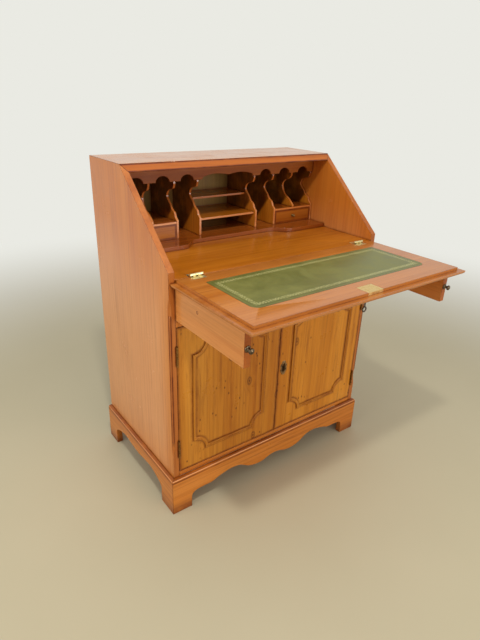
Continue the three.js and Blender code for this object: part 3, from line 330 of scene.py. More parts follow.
def wood(name, tones, grain, rings=60.0, wander=1.5, knots=0.0, figure=0.25, rough=0.2,
         gloss=0.5, stain_and_shade_share=0.8, arris=ARRIS_REACH, arris_share=0.8, shift=0.0, marks=None,
         layer=None, painted_sheen=None):
    """Polished veneer: three tones in bands, with streaks, growth lines, fibres and knots, a red
    brown stain at arrises, and in corners a darkening that is partly stain and partly painted
    shade. A paler tone, where given, is a painted reflection in a band across the middle of the
    sides. marks adds a stain of its own, which on some boards is partly painted shade, and
    layer is the share and the tone of a last one: a painted highlight on the plinth and a
    painted shadow on the dividers."""
    s = Shading(name)
    turned = s.put("Mapping", {"Vector": s.place(), "Rotation": GRAIN_TURNS[grain],
                               "Location": (shift, shift / 2, shift)})
    bands, streaks, flames, fibres = (
        vein(s, turned, kind) for kind in ("bands", "streaks", "flames", "fibres"))
    lines, spots = growth(s, turned, rings, wander, knots)
    dark, middle, light = tones
    tone = s.mix(s.span(bands, *DARK_TO_MIDDLE), dark, middle)
    tone = s.mix(s.span(bands, *MIDDLE_TO_LIGHT), tone, light)
    # A pale band painted across the middle of the sides: a painted reflection
    if painted_sheen is not None:
        _, y, z = s.spot()
        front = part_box("side_left")[0].y
        pale = s.times(s.line(z, *SHEEN_BAND),
                       s.span(y, front, front + SHEEN_FADE, SHEEN_IN_FRONT, 1.0))
        tone = s.mix(s.times(pale, SHEEN_SHARE), tone, painted_sheen)
    tone = s.mix(s.span(streaks, *DARK_STREAK, 0.0, 1.6 * figure), tone, STAIN)
    tone = s.mix(s.span(streaks, *LIGHT_STREAK, figure, 0.0), tone, light)
    tone = s.mix(s.span(flames, *DARK_FLAME, 0.0, 1.5 * figure), tone, STAIN)
    tone = s.mix(s.times(lines, figure), tone, STAIN)
    tone = s.mix(s.span(fibres, *DARK_FIBRE, 0.0, 0.2), tone, dark)
    tone = s.mix(s.times(spots, 0.85), tone, DEEP_STAIN)
    worn = s.span(s.noise(turned, 22.0, 3.0), *WORN)
    # Darker in corners, by how little sky is open over them: partly stain, partly painted shade
    stain_and_shade = s.times(s.corners(CORNER_REACH), stain_and_shade_share)
    if marks is not None:
        stain_and_shade = s.most(stain_and_shade, s.times(marks(s), stain_and_shade_share))
    tone = s.mix(s.times(stain_and_shade, worn), tone, STAIN)
    tone = s.mix(s.times(s.edges(arris), s.times(worn, arris_share)), tone, DEEP_STAIN)
    # The last layer is painted light: a highlight on the plinth, a shadow on the dividers
    if layer is not None:
        share, colour = layer
        tone = s.mix(s.times(share(s), worn), tone, colour)
    relief = s.less(fibres, s.times(spots, 0.8))
    smear = s.noise(turned, 14.0, 4.0, 0.6)
    s.shade(
        base_color=tone,
        roughness=s.span(smear, 0.25, 0.75, rough - 0.04, rough + 0.08),
        specular_ior_level=gloss,
        normal=s.bump(relief, GRAIN_DEPTH, 0.3),
    )
    return s.material


# Keyhole of the right door, from its plate's middle, its black, which is painted shade in the
# hole, and the soft edge of a fine line
KEYHOLE_RADIUS = 2.8 * MM
KEYHOLE_SLOT_HALF = 1.4 * MM
KEYHOLE_RISE = 3 * MM
KEYHOLE_DROP = 7 * MM
KEYHOLE_PAINTED_SHADE = (14, 9, 6)
FINE = 0.2 * MM


def keyhole(s, middle):
    """1 in a keyhole, which is a disc over a slot, in the x z plane, where the hole's shade is
    painted.
    """
    x, _, z = s.spot()
    across = s.less(x, middle.x)
    up = s.less(z, middle.z)
    disc = s.line(s.length(across, s.less(up, KEYHOLE_RISE)), 0.0, KEYHOLE_RADIUS, FINE)
    slot = s.times(s.line(across, 0.0, KEYHOLE_SLOT_HALF, FINE),
                   s.line(up, (KEYHOLE_RISE - KEYHOLE_DROP) / 2,
                          (KEYHOLE_RISE + KEYHOLE_DROP) / 2, FINE))
    return s.most(disc, slot)


# Metals: how far a corner's tarnish reaches, and a plate's tarnished field, which ends between
# these shares of the way out to its edge and has this share of the tarnish
METAL_CORNER = 2.5 * MM
SCRATCH_DEPTH = 0.05 * MM
PLATE_FIELD = (0.5, 0.68)
PLATE_TARNISH = 0.85


def metal(name, bright, tarnish, rough, tarnish_share=0.5, hole=None):
    """Worn metal: a bright tone, darker where tarnish has spread and in corners, with fine
    scratches in its relief. hole is the middle and the half size of a plate whose field is
    tarnished round a keyhole painted black as the shade in the hole."""
    s = Shading(name)
    place = s.place()
    patches = s.span(s.noise(place, 160.0, 4.0, 0.6), 0.35, 0.7, 0.0, tarnish_share)
    tone = s.mix(s.most(patches, s.corners(METAL_CORNER)), bright, tarnish)
    lines = s.noise(s.stretched(place, (1, 14, 3)), 420.0, 2.0)
    if hole is not None:
        middle, half = hole
        x, _, z = s.parts(place)
        out = s.length(s.math("DIVIDE", s.less(x, middle.x), half.x),
                       s.math("DIVIDE", s.less(z, middle.z), half.z))
        tone = s.mix(s.span(out, *PLATE_FIELD, PLATE_TARNISH, 0.0), tone, tarnish)
        # The keyhole's black is painted shade, as the plate has no hole
        tone = s.mix(keyhole(s, middle), tone, KEYHOLE_PAINTED_SHADE)
    s.shade(
        base_color=tone,
        metallic=1.0,
        roughness=s.span(patches, 0.0, tarnish_share, rough, rough + 0.22),
        normal=s.bump(lines, SCRATCH_DEPTH, 0.5),
    )
    return s.material


def box_middle(node):
    """The middle and the half size of a node's box."""
    low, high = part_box(node)
    return (low + high) / 2, (high - low) / 2


def rounded_distance(s, across, up, half, radius):
    """Distance in from the edge of a rectangle with round corners, and whether the nearest
    edge is an upright one: with q the place past the corner circles' centres, the distance is
    radius - |max(q, 0)| - min(max(q), 0)."""
    qa = s.less(s.size_of(across), half[0] - radius)
    qb = s.less(s.size_of(up), half[1] - radius)
    outside = s.length(s.most(qa, 0.0), s.most(qb, 0.0))
    inside = s.math("MINIMUM", s.most(qa, qb), 0.0)
    return s.less(radius, s.sum(outside, inside)), s.math("GREATER_THAN", qa, qb)


# Tooled border of the leather, from its edge inwards: the round of its corners, the dark rim,
# the blind line, the band with its motifs, and the rows of beads beside it
LEATHER_ROUND = 4 * MM
LEATHER_RIM = 3 * MM
TOOL_LINE = mm(10, 0.5, 0.2)
BAND_START = 17 * MM
BAND_WIDTH = 7 * MM
MOTIF_PITCH = 7.5 * MM
MOTIF_RING = 2.2 * MM
MOTIF_DOT = 1 * MM
MOTIF_SWING = 0.36
GILT_HALF = 0.3 * MM
RIM_AWAY = 1 * MM
RIM_HALF = 0.8 * MM
RIM_PITCH = 9 * MM


def border(s, middle, half):
    """Gilt border: two rows of beads with rings, dots and a wave between them. Gives the gilt,
    the blind line and the dark rim, each from 0 to 1."""
    x, y, _ = s.spot()
    across = s.less(x, middle.x)
    up = s.less(y, middle.y)
    inset, upright = rounded_distance(s, across, up, (half.x, half.y), LEATHER_ROUND)
    along = s.choose(upright, across, up)
    middle_line = BAND_START + BAND_WIDTH / 2
    off = s.less(inset, middle_line)
    reach = s.length(s.repeated(along, MOTIF_PITCH), off)
    swing = s.times(s.math("COSINE", s.times(along, TURN / MOTIF_PITCH)),
                    BAND_WIDTH * MOTIF_SWING)
    wave = s.line(s.less(off, swing), 0.0, GILT_HALF, FINE)
    motif = s.most(s.times(wave, 0.5), s.line(reach, MOTIF_RING, GILT_HALF, FINE),
                   s.line(reach, 0.0, MOTIF_DOT, FINE))
    beads = s.span(s.math("COSINE", s.times(along, TURN / RIM_PITCH)), -0.3, 0.2)
    rims = s.times(beads, s.most(
        s.line(inset, BAND_START - RIM_AWAY, RIM_HALF, FINE),
        s.line(inset, BAND_START + BAND_WIDTH + RIM_AWAY, RIM_HALF, FINE)))
    gilt = s.most(s.times(motif, s.line(inset, middle_line, BAND_WIDTH / 2, FINE)), rims)
    return gilt, s.line(inset, *TOOL_LINE), s.span(inset, 0.0, LEATHER_RIM, 1.0, 0.0)


LEATHER_TONES = ((98, 98, 34), (120, 118, 52))
LEATHER_GRAIN = (58, 66, 22)
LEATHER_DARK = (44, 44, 14)
GILT = (232, 224, 156)
GILT_SHARE = 0.7
PEBBLE_DEPTH = 0.1 * MM


def leather():
    """Green skiver: a calm mottle, a fine pebbled grain, a blind tooled line, a dark rim and a
    worn gilt border."""
    s = Shading("green_tooled_leather")
    place = s.place()
    gilt, blind, rim = border(s, *box_middle("fall_leather"))
    gilt = s.times(gilt, s.span(s.noise(place, 230.0, 2.0, 0.6), 0.38, 0.55, 0.25, 1.0))
    mottle = s.noise(place, 14.0, 4.0, 0.65, 0.6)
    tone = s.mix(s.span(mottle, 0.3, 0.7), *LEATHER_TONES)
    grain = s.put("TexVoronoi", {"Vector": place, "Scale": 900.0})
    tone = s.mix(s.span(grain, 0.25, 0.7, 0.0, 0.3), tone, LEATHER_GRAIN)
    tone = s.mix(s.times(s.most(blind, rim), 0.75), tone, LEATHER_DARK)
    tone = s.mix(s.times(gilt, GILT_SHARE), tone, GILT)
    pressed = s.times(s.most(blind, gilt), -1.6)
    height = s.sum(s.times(grain, -0.5), pressed)
    s.shade(
        base_color=tone,
        metallic=s.times(gilt, 0.3),
        roughness=s.span(mottle, 0.3, 0.7, 0.34, 0.44),
        specular_ior_level=0.4,
        normal=s.bump(height, PEBBLE_DEPTH, 0.5),
    )
    return s.material


# Moulding of the doors: a band round a panel with a notch in each corner. The stain beside it
# and along the door's edges wanders by WOBBLE
NOTCH_RADIUS = 42 * MM
NOTCH_LEAD = 41 * MM
MOULDING_WIDTH = 10 * MM
MOULDING_STAIN = 9 * MM
DOOR_RIM = mm(-9, -1)
WOBBLE = 5 * MM


def notched_marks(moulding, door):
    """Stain on a door along both edges of its moulding and along the door's own edges. The
    distance to the notched outline is that of the rectangle, with the corner circles cut out
    of it."""
    middle, half = box_middle(moulding)
    door_middle, door_half = box_middle(door)

    def marks(s):
        x, _, z = s.spot()
        across = s.past(x, middle.x, half.x)
        up = s.past(z, middle.z, half.z)
        notch = s.less(NOTCH_RADIUS, s.length(across, up))
        outline = s.most(across, up, notch)
        wobble = s.times(s.less(s.noise(s.place(), 60.0, 2.0), 0.5), WOBBLE)
        away = s.size_of(s.sum(outline, MOULDING_WIDTH / 2, wobble))
        beside = s.span(away, MOULDING_WIDTH / 2, MOULDING_WIDTH / 2 + MOULDING_STAIN, 1.0, 0.0)
        edge = s.most(s.past(x, door_middle.x, door_half.x),
                      s.past(z, door_middle.z, door_half.z))
        rim = s.span(s.sum(edge, wobble), *DOOR_RIM, 0.0, 0.9)
        return s.times(s.most(beside, rim), s.to_front())

    return marks


# Plinth: the line under its moulding, how far up its feet are darkened, and the painted
# highlight under its ledge
PLINTH_LINE = mm(117, 1.5, 3)
FOOT_DARK = 50 * MM
PAINTED_HIGHLIGHT_LINE = mm(-2.5, 1, 1.5)


def plinth_marks(s):
    """Stain in the line under the plinth's moulding, and darker on its level ledge and towards the
    bottom of its feet.
    """
    height = s.spot()[2]
    ledge = s.span(s.facing()[2], 0.6, 0.85, 0.0, 0.9)
    foot = s.span(height, 0.0, FOOT_DARK, 1.0, 0.0)
    return s.most(s.line(height, *PLINTH_LINE), ledge, foot)


def plinth_painted_highlight(s):
    """Painted highlight: a pale line along the moulding's rounded upper arris, under the ledge."""
    over = s.less(s.spot()[2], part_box("plinth_front")[1].z)
    upright = s.span(s.size_of(s.facing()[2]), 0.3, 0.8, 1.0, 0.0)
    return s.times(s.line(over, *PAINTED_HIGHLIGHT_LINE), upright)


TOP_LINE = 5 * MM


def top_edge_marks(s):
    """Stain along the upper arris of the top board's front edge, and along its lower arris a
    painted shadow line under the board.
    """
    low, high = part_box("top_board")
    height = s.spot()[2]
    return s.most(s.span(height, high.z - TOP_LINE, high.z - TOP_LINE / 2),
                  s.span(height, low.z + TOP_LINE / 2, low.z + TOP_LINE, 1.0, 0.0))


# Dividers: the height at their front of the edge of the shadow painted on them, how soft it
# is, its fall to the back, and its share
SHADE_HEIGHT = 872 * MM
SHADE_EDGE = mm(-6, 10)
SHADE_SLOPE = 1.15
SHADE_SHARE = 0.78


def divider_painted_shadow(s):
    """Painted shadow in the upper rear of a divider, over a line that falls to the back: the
    shadow of the top board and the frieze under a light high in front, with what lies lower in
    front left lit."""
    _, y, z = s.spot()
    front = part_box("divider_inner_left")[0].y
    over = s.less(s.sum(z, s.times(s.less(y, front), SHADE_SLOPE)), SHADE_HEIGHT)
    return s.span(over, *SHADE_EDGE, 0.0, SHADE_SHARE)


# Flute on the front corners of the case: its run up the side, its two grooves, and how far
# from the corner they end
FLUTE_RUN = mm(449, 197, 3)
FLUTE_REACH = mm(11, 13)
GROOVE = mm(2.7, 1.2, 0.5)


def flute_marks(s):
    """Stain in the two grooves beside the bead: lines at an equal distance from the diagonal
    through the corner, between the bead's ends."""
    low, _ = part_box("side_left")
    x, y, z = s.spot()
    inward = s.less(-low.x, s.size_of(x))
    back = s.less(y, low.y)
    off = s.times(s.size_of(s.less(inward, back)), math.sqrt(0.5))
    near = s.span(s.sum(inward, back), *FLUTE_REACH, 1.0, 0.0)
    return s.times(s.line(off, *GROOVE), s.times(near, s.line(z, *FLUTE_RUN)))


# Plug in the outer face of a support: its distance behind the front end and below the upper
# edge, and the ring round it
PLUG_BEHIND = 185 * MM
PLUG_BELOW = 30 * MM
PLUG_RING = mm(3.2, 0.8, 0.8)


def plug_marks(s):
    """A dark ring round a plug in the outer face of the supports."""
    low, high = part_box("loper_left")
    _, y, z = s.spot()
    away = s.length(s.less(y, low.y + PLUG_BEHIND), s.less(z, high.z - PLUG_BELOW))
    return s.line(away, *PLUG_RING)


# Fall: the lip's width, the line on its step, how far from the hinged edge these end, and the
# strip of painted shade along that edge
LIP_WIDTH = 16 * MM
LIP_SOFT = 1 * MM
LIP_STEP = (LIP_WIDTH, *mm(0.8, 1.2))
LIP_ENDS = mm(24, 20)
REAR_SHADE_STRIP = 60 * MM
NEARLY_SQUARE = 1 * MM


def fall_marks(s):
    """On level faces: darker on both sides of the step between the fall's lip and its field, as
    a stain at its arris and painted shade in the corner at its foot, and painted shade along
    the hinged edge, where the board reflects the dark case."""
    middle, half = box_middle("fall_board")
    x, y, _ = s.spot()
    across, back = s.less(x, middle.x), s.less(y, middle.y)
    inset, _ = rounded_distance(s, across, back, (half.x, half.y), NEARLY_SQUARE)
    ahead = s.span(back, *(half.y - end for end in LIP_ENDS), 1.0, 0.0)
    level = s.span(s.size_of(s.facing()[2]), 0.5, 0.7)
    step = s.line(inset, *LIP_STEP)
    lip = s.span(inset, LIP_WIDTH - LIP_SOFT, LIP_WIDTH, 0.6, 0.0)
    # Painted shade along the hinged edge
    rear = s.span(back, half.y - REAR_SHADE_STRIP, half.y - REAR_SHADE_STRIP / 3, 0.0, 0.45)
    return s.times(s.most(s.times(s.most(step, lip), ahead), rear), level)


# How far in from its edge a small drawer is red
DRAWER_LINE = mm(4.5, 8)


def drawer_marks(node):
    """Red line round a small drawer's front, a little in from its edge."""
    middle, half = box_middle(node)

    def marks(s):
        x, _, z = s.spot()
        out = s.most(s.past(x, middle.x, half.x), s.past(z, middle.z, half.z))
        return s.times(s.span(s.less(0.0, out), *DRAWER_LINE, 1.0, 0.0), s.to_front())

    return marks


PIN_INSET = 9 * MM
PIN_PITCH = 104 * MM
PIN_HEAD = mm(0, 1.6, 0.8)


def pin_marks(s):
    """Dark heads of the pins that hold the back panel, at even steps a little inside its
    edge."""
    middle, half = box_middle("back_panel")
    x, _, z = s.spot()
    across, up = s.less(x, middle.x), s.less(z, middle.z)
    inset, upright = rounded_distance(s, across, up, (half.x, half.z), NEARLY_SQUARE)
    along = s.choose(upright, across, up)
    away = s.length(s.repeated(along, PIN_PITCH), s.less(inset, PIN_INSET))
    return s.line(away, *PIN_HEAD)


# Tones of the woods, dark to light
CASE_TONES = ((186, 104, 32), (194, 114, 38), (204, 126, 50))
TOP_EDGE_TONES = ((144, 70, 16), (162, 84, 24), (178, 100, 36))
LOPER_EDGE_TONES = ((148, 74, 20), (166, 88, 28), (182, 104, 40))
SIDE_EDGE_TONES = ((156, 82, 26), (174, 98, 36), (190, 116, 52))
FALL_TONES = ((172, 98, 32), (182, 110, 42), (192, 122, 54))
TOP_TONES = ((176, 104, 46), (188, 118, 58), (198, 130, 72))
LOPER_TONES = ((196, 118, 52), (208, 134, 66), (218, 148, 82))
# Paler front faces of dividers, end panels, shelves and drawer tops: a painted highlight
EDGE_PAINTED_HIGHLIGHT_TONES = ((158, 82, 28), (184, 108, 50), (212, 142, 88))
LEFT_DOOR_TONES = ((172, 100, 22), (186, 116, 32), (200, 132, 44))
# The right door is lighter than the left: painted light, for the more light that falls on it
RIGHT_DOOR_PAINTED_LIGHT_TONES = ((184, 110, 24), (200, 126, 34), (214, 142, 46))
# The frieze's tones are darker than the inside wood's: painted shade, for the top board over it
FRIEZE_SHADED_TONES = ((132, 68, 14), (148, 80, 20), (164, 94, 32))
INSIDE_TONES = ((158, 86, 12), (172, 98, 20), (188, 112, 30))
DRAWER_TONES = ((138, 70, 14), (152, 84, 22), (168, 98, 32))
UPRIGHT_TONES = ((180, 102, 20), (196, 118, 30), (212, 132, 42))
# Darker, redder base and drawer tops: a painted reflection of the dark pigeonholes over them
BASE_PAINTED_SHADE_TONES = ((120, 56, 12), (142, 72, 20), (162, 88, 32))
MOULDING_TONES = ((150, 84, 18), (172, 104, 26), (192, 124, 40))
BACK_TONES = ((112, 82, 30), (134, 100, 42), (150, 116, 54))
# The pale tone of the painted reflection across the sides
SIDE_PAINTED_SHEEN = (220, 164, 116)

# Reach of the stain at an arris, where it isn't ARRIS_REACH
TOP_EDGE_ARRIS = 2.6 * MM
MOULDING_ARRIS = 1 * MM

# Metals: name, bright and tarnished tone, roughness, and the tarnish's share
METALS = {
    "brass": ("aged_brass", (140, 108, 62), (70, 48, 28), 0.3),
    "bronze": ("dark_bronze", (116, 98, 76), (50, 38, 28), 0.24, 0.8),
    "hinge_brass": ("dull_brass", (150, 108, 58), (78, 46, 22), 0.36, 0.7),
    "bright_brass": ("pale_brass", (236, 222, 168), (176, 150, 96), 0.3, 0.3),
    "lock_brass": ("lock_plate_brass", (228, 198, 132), (184, 146, 88), 0.32, 0.4),
    "screw": ("dark_screw", (120, 100, 70), (60, 44, 30), 0.3, 0.6),
    "escutcheon": ("keyhole_plate_bronze", (168, 132, 92), (48, 28, 14), 0.28, 0.9,
                   box_middle("door_escutcheon")),
    "steel": ("dark_steel", (112, 102, 92), (52, 42, 34), 0.32, 0.7),
}


def make_finishes():
    """One material for each kind of board and fitting, by name."""
    plain = dict(tones=CASE_TONES, figure=0.12)
    edge = dict(figure=0.14, gloss=0.2, rough=0.34)
    plinth = dict(tones=CASE_TONES, figure=0.2, gloss=0.3, marks=plinth_marks,
                  layer=(plinth_painted_highlight, PAINTED_HIGHLIGHT))
    satin = dict(figure=0.18, gloss=0.4, rough=0.18)
    door = dict(grain="Z", rings=42.0, wander=3.4, knots=0.4, figure=0.22, gloss=0.22, rough=0.3)
    return {
        "side": wood("side_veneer", grain="Z", painted_sheen=SIDE_PAINTED_SHEEN, **plain),
        "side_edge": wood("side_edge_wood", SIDE_EDGE_TONES, "Z", figure=0.14, gloss=0.3,
                          rough=0.3, stain_and_shade_share=1.0, marks=flute_marks),
        "top": wood("top_veneer", TOP_TONES, "X", rough=0.15, figure=0.12),
        "top_edge": wood("top_edge_wood", TOP_EDGE_TONES, "X", arris=TOP_EDGE_ARRIS,
                         arris_share=1.0, stain_and_shade_share=1.0, marks=top_edge_marks, **edge),
        "loper_edge": wood("support_edge_wood", LOPER_EDGE_TONES, "X", **edge),
        "plinth": wood("plinth_veneer", grain="X", **plinth),
        "plinth_side": wood("plinth_side_veneer", grain="Y", **plinth),
        "fall": wood("fall_veneer", FALL_TONES, "X", rough=0.17, figure=0.14, shift=0.37,
                     stain_and_shade_share=0.5, arris_share=0.4, marks=fall_marks),
        "loper": wood("support_wood", LOPER_TONES, "Y", figure=0.12, shift=0.11,
                      marks=plug_marks),
        "rail": wood("rail_wood", CASE_TONES, "X", shift=0.23, gloss=0.3),
        "inside": wood("inside_veneer", INSIDE_TONES, "X", **satin),
        # The dividers carry a painted shadow in their upper rear
        "upright": wood("divider_veneer", UPRIGHT_TONES, "Z", arris_share=0.2,
                        layer=(divider_painted_shadow, PAINTED_SHADOW), **satin),
        # Front faces with a painted highlight
        "bright_edge": wood("painted_highlight_edge_wood", EDGE_PAINTED_HIGHLIGHT_TONES, "X", figure=0.1, gloss=0.6,
                            rough=0.14, arris_share=0.0, stain_and_shade_share=0.3),
        "frieze": wood("frieze_painted_shade_wood", FRIEZE_SHADED_TONES, "X", gloss=0.15, rough=0.35),
        "base": wood("base_painted_shade_wood", BASE_PAINTED_SHADE_TONES, "X", figure=0.2, rough=0.14,
                     arris_share=0.1),
        "drawer": wood("drawer_wood", INSIDE_TONES, "X", shift=0.5, **satin),
        "small_drawer_left": wood("left_small_drawer_wood", DRAWER_TONES, "X", shift=0.5,
                                  marks=drawer_marks("small_drawer_left"), **satin),
        "small_drawer_right": wood("right_small_drawer_wood", DRAWER_TONES, "X", shift=0.7,
                                   marks=drawer_marks("small_drawer_right"), **satin),
        "door_left": wood("left_door_veneer", LEFT_DOOR_TONES,
                          marks=notched_marks("door_moulding_left", "door_left"), **door),
        "door_right": wood("right_door_veneer", RIGHT_DOOR_PAINTED_LIGHT_TONES, shift=0.31,
                           marks=notched_marks("door_moulding_right", "door_right"), **door),
        "moulding": wood("moulding_wood", MOULDING_TONES, "Z", figure=0.2, gloss=0.2, rough=0.3,
                         arris=MOULDING_ARRIS, arris_share=0.2),
        "back": wood("back_panel_wood", BACK_TONES, "Z", knots=0.05, figure=0.15, rough=0.5,
                     gloss=0.25, marks=pin_marks),
        "leather": leather(),
        **{kind: metal(*settings) for kind, settings in METALS.items()},
    }


finishes = make_finishes()

FINISH_OF_SLOT = {
    "top_wood": "top", "back_wood": "back", "moulding_wood": "moulding", "brass": "brass",
    "bright_brass": "bright_brass", "key_steel": "steel", "leather": "leather",
    "drawer_wood": "drawer", "inside_wood": "inside", "case_wood": "side",
}

# Finishes of nodes by how their names start, where these are their own
FINISH_STARTS = {
    "upright": ("divider", "end_panel"), "plinth": "plinth_front", "plinth_side": "plinth_side",
    "fall": "fall_board", "bronze": "loper_knob", "frieze": "pigeonhole_frieze",
    "loper": ("loper_left", "loper_right", "loper_partition"),
    "rail": ("drawer_rail", "cupboard_floor"), "base": ("drawer_top", "pigeonhole_base"),
    "hinge_brass": "door_hinge", "lock_brass": "fall_lock",
}

# Finishes of faces to the front by how a node's name starts, and the y of the normal under
# which a face looks to the front
EDGE_STARTS = {
    "side_edge": "side", "top_edge": "top_board",
    "bright_edge": ("divider", "end_panel", "centre_shelf", "drawer_top"),
    "loper_edge": ("loper_left", "loper_right"),
}
FRONT_LIMIT = -0.2


def by_start(table, node):
    """The finish that a table gives for the start of a node's name, or nothing."""
    return next((finish for finish, starts in table.items() if node.startswith(starts)), None)


def finish_for(node):
    """The finish of a node: its own where there is one of its name or of its name's start,
    else its slot's."""
    if node in finishes:
        return node
    return by_start(FINISH_STARTS, node) or FINISH_OF_SLOT[SLOT_OF[node]]


def sided(*starts):
    """The left and the right node of each start of a name."""
    return [f"{start}_{side}" for start in starts for side in ("left", "right")]


# Surfaces: points nearer than WELD are merged, and an edge under this angle is shaded smooth
WELD = 0.002 * MM
SMOOTH_BELOW = math.radians(38)


def mesh_from_grid(name, grid, wrap_rows=False, wrap_columns=False):
    """A mesh from a grid of points, of shape rows by columns by 3: every four neighbours make
    a face. Rows or columns can close on themselves. Doubles are merged, so that a row drawn
    into one point closes the form, and faces are turned outwards."""
    rows, columns = grid.shape[:2]
    index = np.arange(rows * columns).reshape(rows, columns)
    if wrap_rows:
        index = np.vstack([index, index[:1]])
    if wrap_columns:
        index = np.hstack([index, index[:, :1]])
    corners = (index[:-1, :-1], index[1:, :-1], index[1:, 1:], index[:-1, 1:])
    faces = np.stack(corners, axis=-1).reshape(-1, 4)
    mesh = bpy.data.meshes.new(name)
    mesh.from_pydata(grid.reshape(-1, 3).tolist(), [], faces.tolist())
    work = bmesh.new()
    work.from_mesh(mesh)
    bmesh.ops.remove_doubles(work, verts=work.verts, dist=WELD)
    bmesh.ops.dissolve_degenerate(work, edges=work.edges, dist=WELD)
    bmesh.ops.recalc_face_normals(work, faces=work.faces)
    return filled(mesh, work)


def filled(mesh, work, smooth_below=SMOOTH_BELOW):
    """Puts worked faces back into a mesh and shades it smooth except at sharp edges."""
    work.to_mesh(mesh)
    work.free()
    mesh.shade_smooth()
    mesh.set_sharp_from_angle(angle=smooth_below)
    return mesh


def put_in_scene(name, data):
    """An object of the scene that holds a mesh, a lamp or the camera."""
    made = bpy.data.objects.new(name, data)
    bpy.context.scene.collection.objects.link(made)
    return made


def add_piece(name, mesh, body, finish, slot, *replaced):
    """Puts a finished mesh into the scene as a piece that rides on a body."""
    piece = put_in_scene(name, mesh)
    piece.data.materials.clear()
    piece.data.materials.append(finishes[finish])
    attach(piece, body)
    if replaced:
        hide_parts(*replaced)
    return piece


def arc(centre, radii, start, end, steps):
    """Points of an ellipse's arc: centre + radii * (cos, sin) from start to end."""
    angle = np.linspace(start, end, steps)
    return np.column_stack([centre[0] + radii[0] * np.cos(angle),
                            centre[1] + radii[1] * np.sin(angle)])


def revolved(profile, steps=48):
    """A profile of radius and height turned about z: (r cos a, r sin a, h)."""
    angle = np.linspace(0, TURN, steps, endpoint=False)[:, None]
    radius, height = profile[:, 0][None, :], profile[:, 1][None, :]
    return np.stack([radius * np.cos(angle), radius * np.sin(angle),
                     height + 0 * angle], axis=-1)


def joined(name, meshes):
    """One mesh that holds several closed ones side by side."""
    work = bmesh.new()
    for mesh in meshes:
        work.from_mesh(mesh)
        bpy.data.meshes.remove(mesh)
    return filled(bpy.data.meshes.new(name), work)


# Timber with its arrises eased: how near points are merged and how flat neighbours are joined,
# from which angle an arris is rounded, and the angle under which a board is shaded smooth
BOARD_WELD = 0.01 * MM
BOARD_FLAT = math.radians(0.5)
ARRIS_ANGLE = math.radians(35)
BOARD_SMOOTH = math.radians(32)


def eased(node, width, shortest, segments=3):
    """A copy of a board with each arris rounded over by width: its flat neighbours are joined
    first, and only edges that stand out and aren't shorter than the shortest are rounded."""
    mesh = frame["nodes"][node].data.copy()
    work = bmesh.new()
    work.from_mesh(mesh)
    bmesh.ops.remove_doubles(work, verts=work.verts, dist=BOARD_WELD)
    bmesh.ops.dissolve_limit(work, angle_limit=BOARD_FLAT, verts=work.verts, edges=work.edges)
    weight = work.edges.layers.float.new("bevel_weight_edge")
    for edge in work.edges:
        sharp = edge.is_manifold and edge.calc_face_angle(0) > ARRIS_ANGLE
        edge[weight] = float(sharp and edge.is_convex and edge.calc_length() >= shortest)
    filled(mesh, work, BOARD_SMOOTH)
    piece = add_piece(node + "_eased", mesh, BODY_OF[node], finish_for(node), SLOT_OF[node], node)
    edge = by_start(EDGE_STARTS, node)
    if edge:
        mesh.materials.append(finishes[edge])
        facing = np.empty(3 * len(mesh.polygons))
        mesh.polygons.foreach_get("normal", facing)
        to_front = facing.reshape(-1, 3)[:, 1] < FRONT_LIMIT
        mesh.polygons.foreach_set("material_index", to_front.astype(int))
    bevel = piece.modifiers.new("arris", "BEVEL")
    bevel.limit_method = "WEIGHT"
    bevel.width = width
    bevel.segments = segments
    bevel.harden_normals = True


# Width of the rounded arrises, the length of the shortest edge that is rounded, and the boards
EASE = (
    (0.9 * MM, 0, [*sided("side"), "fall_board", "plinth_front",
                   *sided("plinth_side", "door", "loper"), "long_drawer",
                   *sided("end_panel", "divider_outer", "divider_inner", "divider_short",
                          "drawer_top"), "centre_shelf_lower", "centre_shelf_upper"]),
    (1.6 * MM, 60 * MM, ["top_board"]),
    (0.7 * MM, 0, ["writing_board", "drawer_rail", "cupboard_floor", "cupboard_shelf",
                   *sided("loper_partition"), "pigeonhole_base", "pigeonhole_frieze",
                   *sided("small_drawer")]),
)


def ease_boards():
    for width, shortest, nodes in EASE:
        for node in nodes:
            eased(node, width, shortest)


# Turned knobs

def knob_profile(radius, length):
    """Profile of a turned knob from the back: a flange with a round edge, a cove down to the
    neck and a cushion-shaped head that ends in a small button."""
    flange = 0.12 * length
    neck = 0.42 * radius
    head = 0.9 * radius
    middle = 0.72 * length
    half = 0.2 * length
    rise = np.linspace(0, 1, 9)[:, None]
    cove = np.array([radius - flange, flange]) * (1 - rise) + np.array([neck, 0.42 * length]) * rise
    cove[:, 0] -= 0.12 * radius * np.sin(rise[:, 0] * math.pi)
    return np.vstack([
        [[0, 0]],
        arc((radius - flange, 0), (flange, flange), 0, math.pi / 2, 6),
        cove,
        arc((neck, middle), (head - neck, half), -math.pi / 2, math.pi / 2, 14),
        arc((0, middle + half), (0.45 * radius, length - middle - half), 0.35, math.pi / 2, 8),
    ])


def make_knobs():
    """Turned knobs in the place of the plain ones, with their axis along y."""
    for node in [n for n in BODY_OF if "knob" in n]:
        low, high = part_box(node)
        middle = (low + high) / 2
        grid = revolved(knob_profile((high.x - low.x) / 2, high.y - low.y), 40)
        turned = np.stack([grid[..., 0] + middle.x, high.y - grid[..., 2],
                           grid[..., 1] + middle.z], axis=-1)
        mesh = mesh_from_grid(node + "_turned", turned, wrap_rows=True)
        add_piece(node + "_turned", mesh, BODY_OF[node], finish_for(node), "brass", node)


# Door mouldings

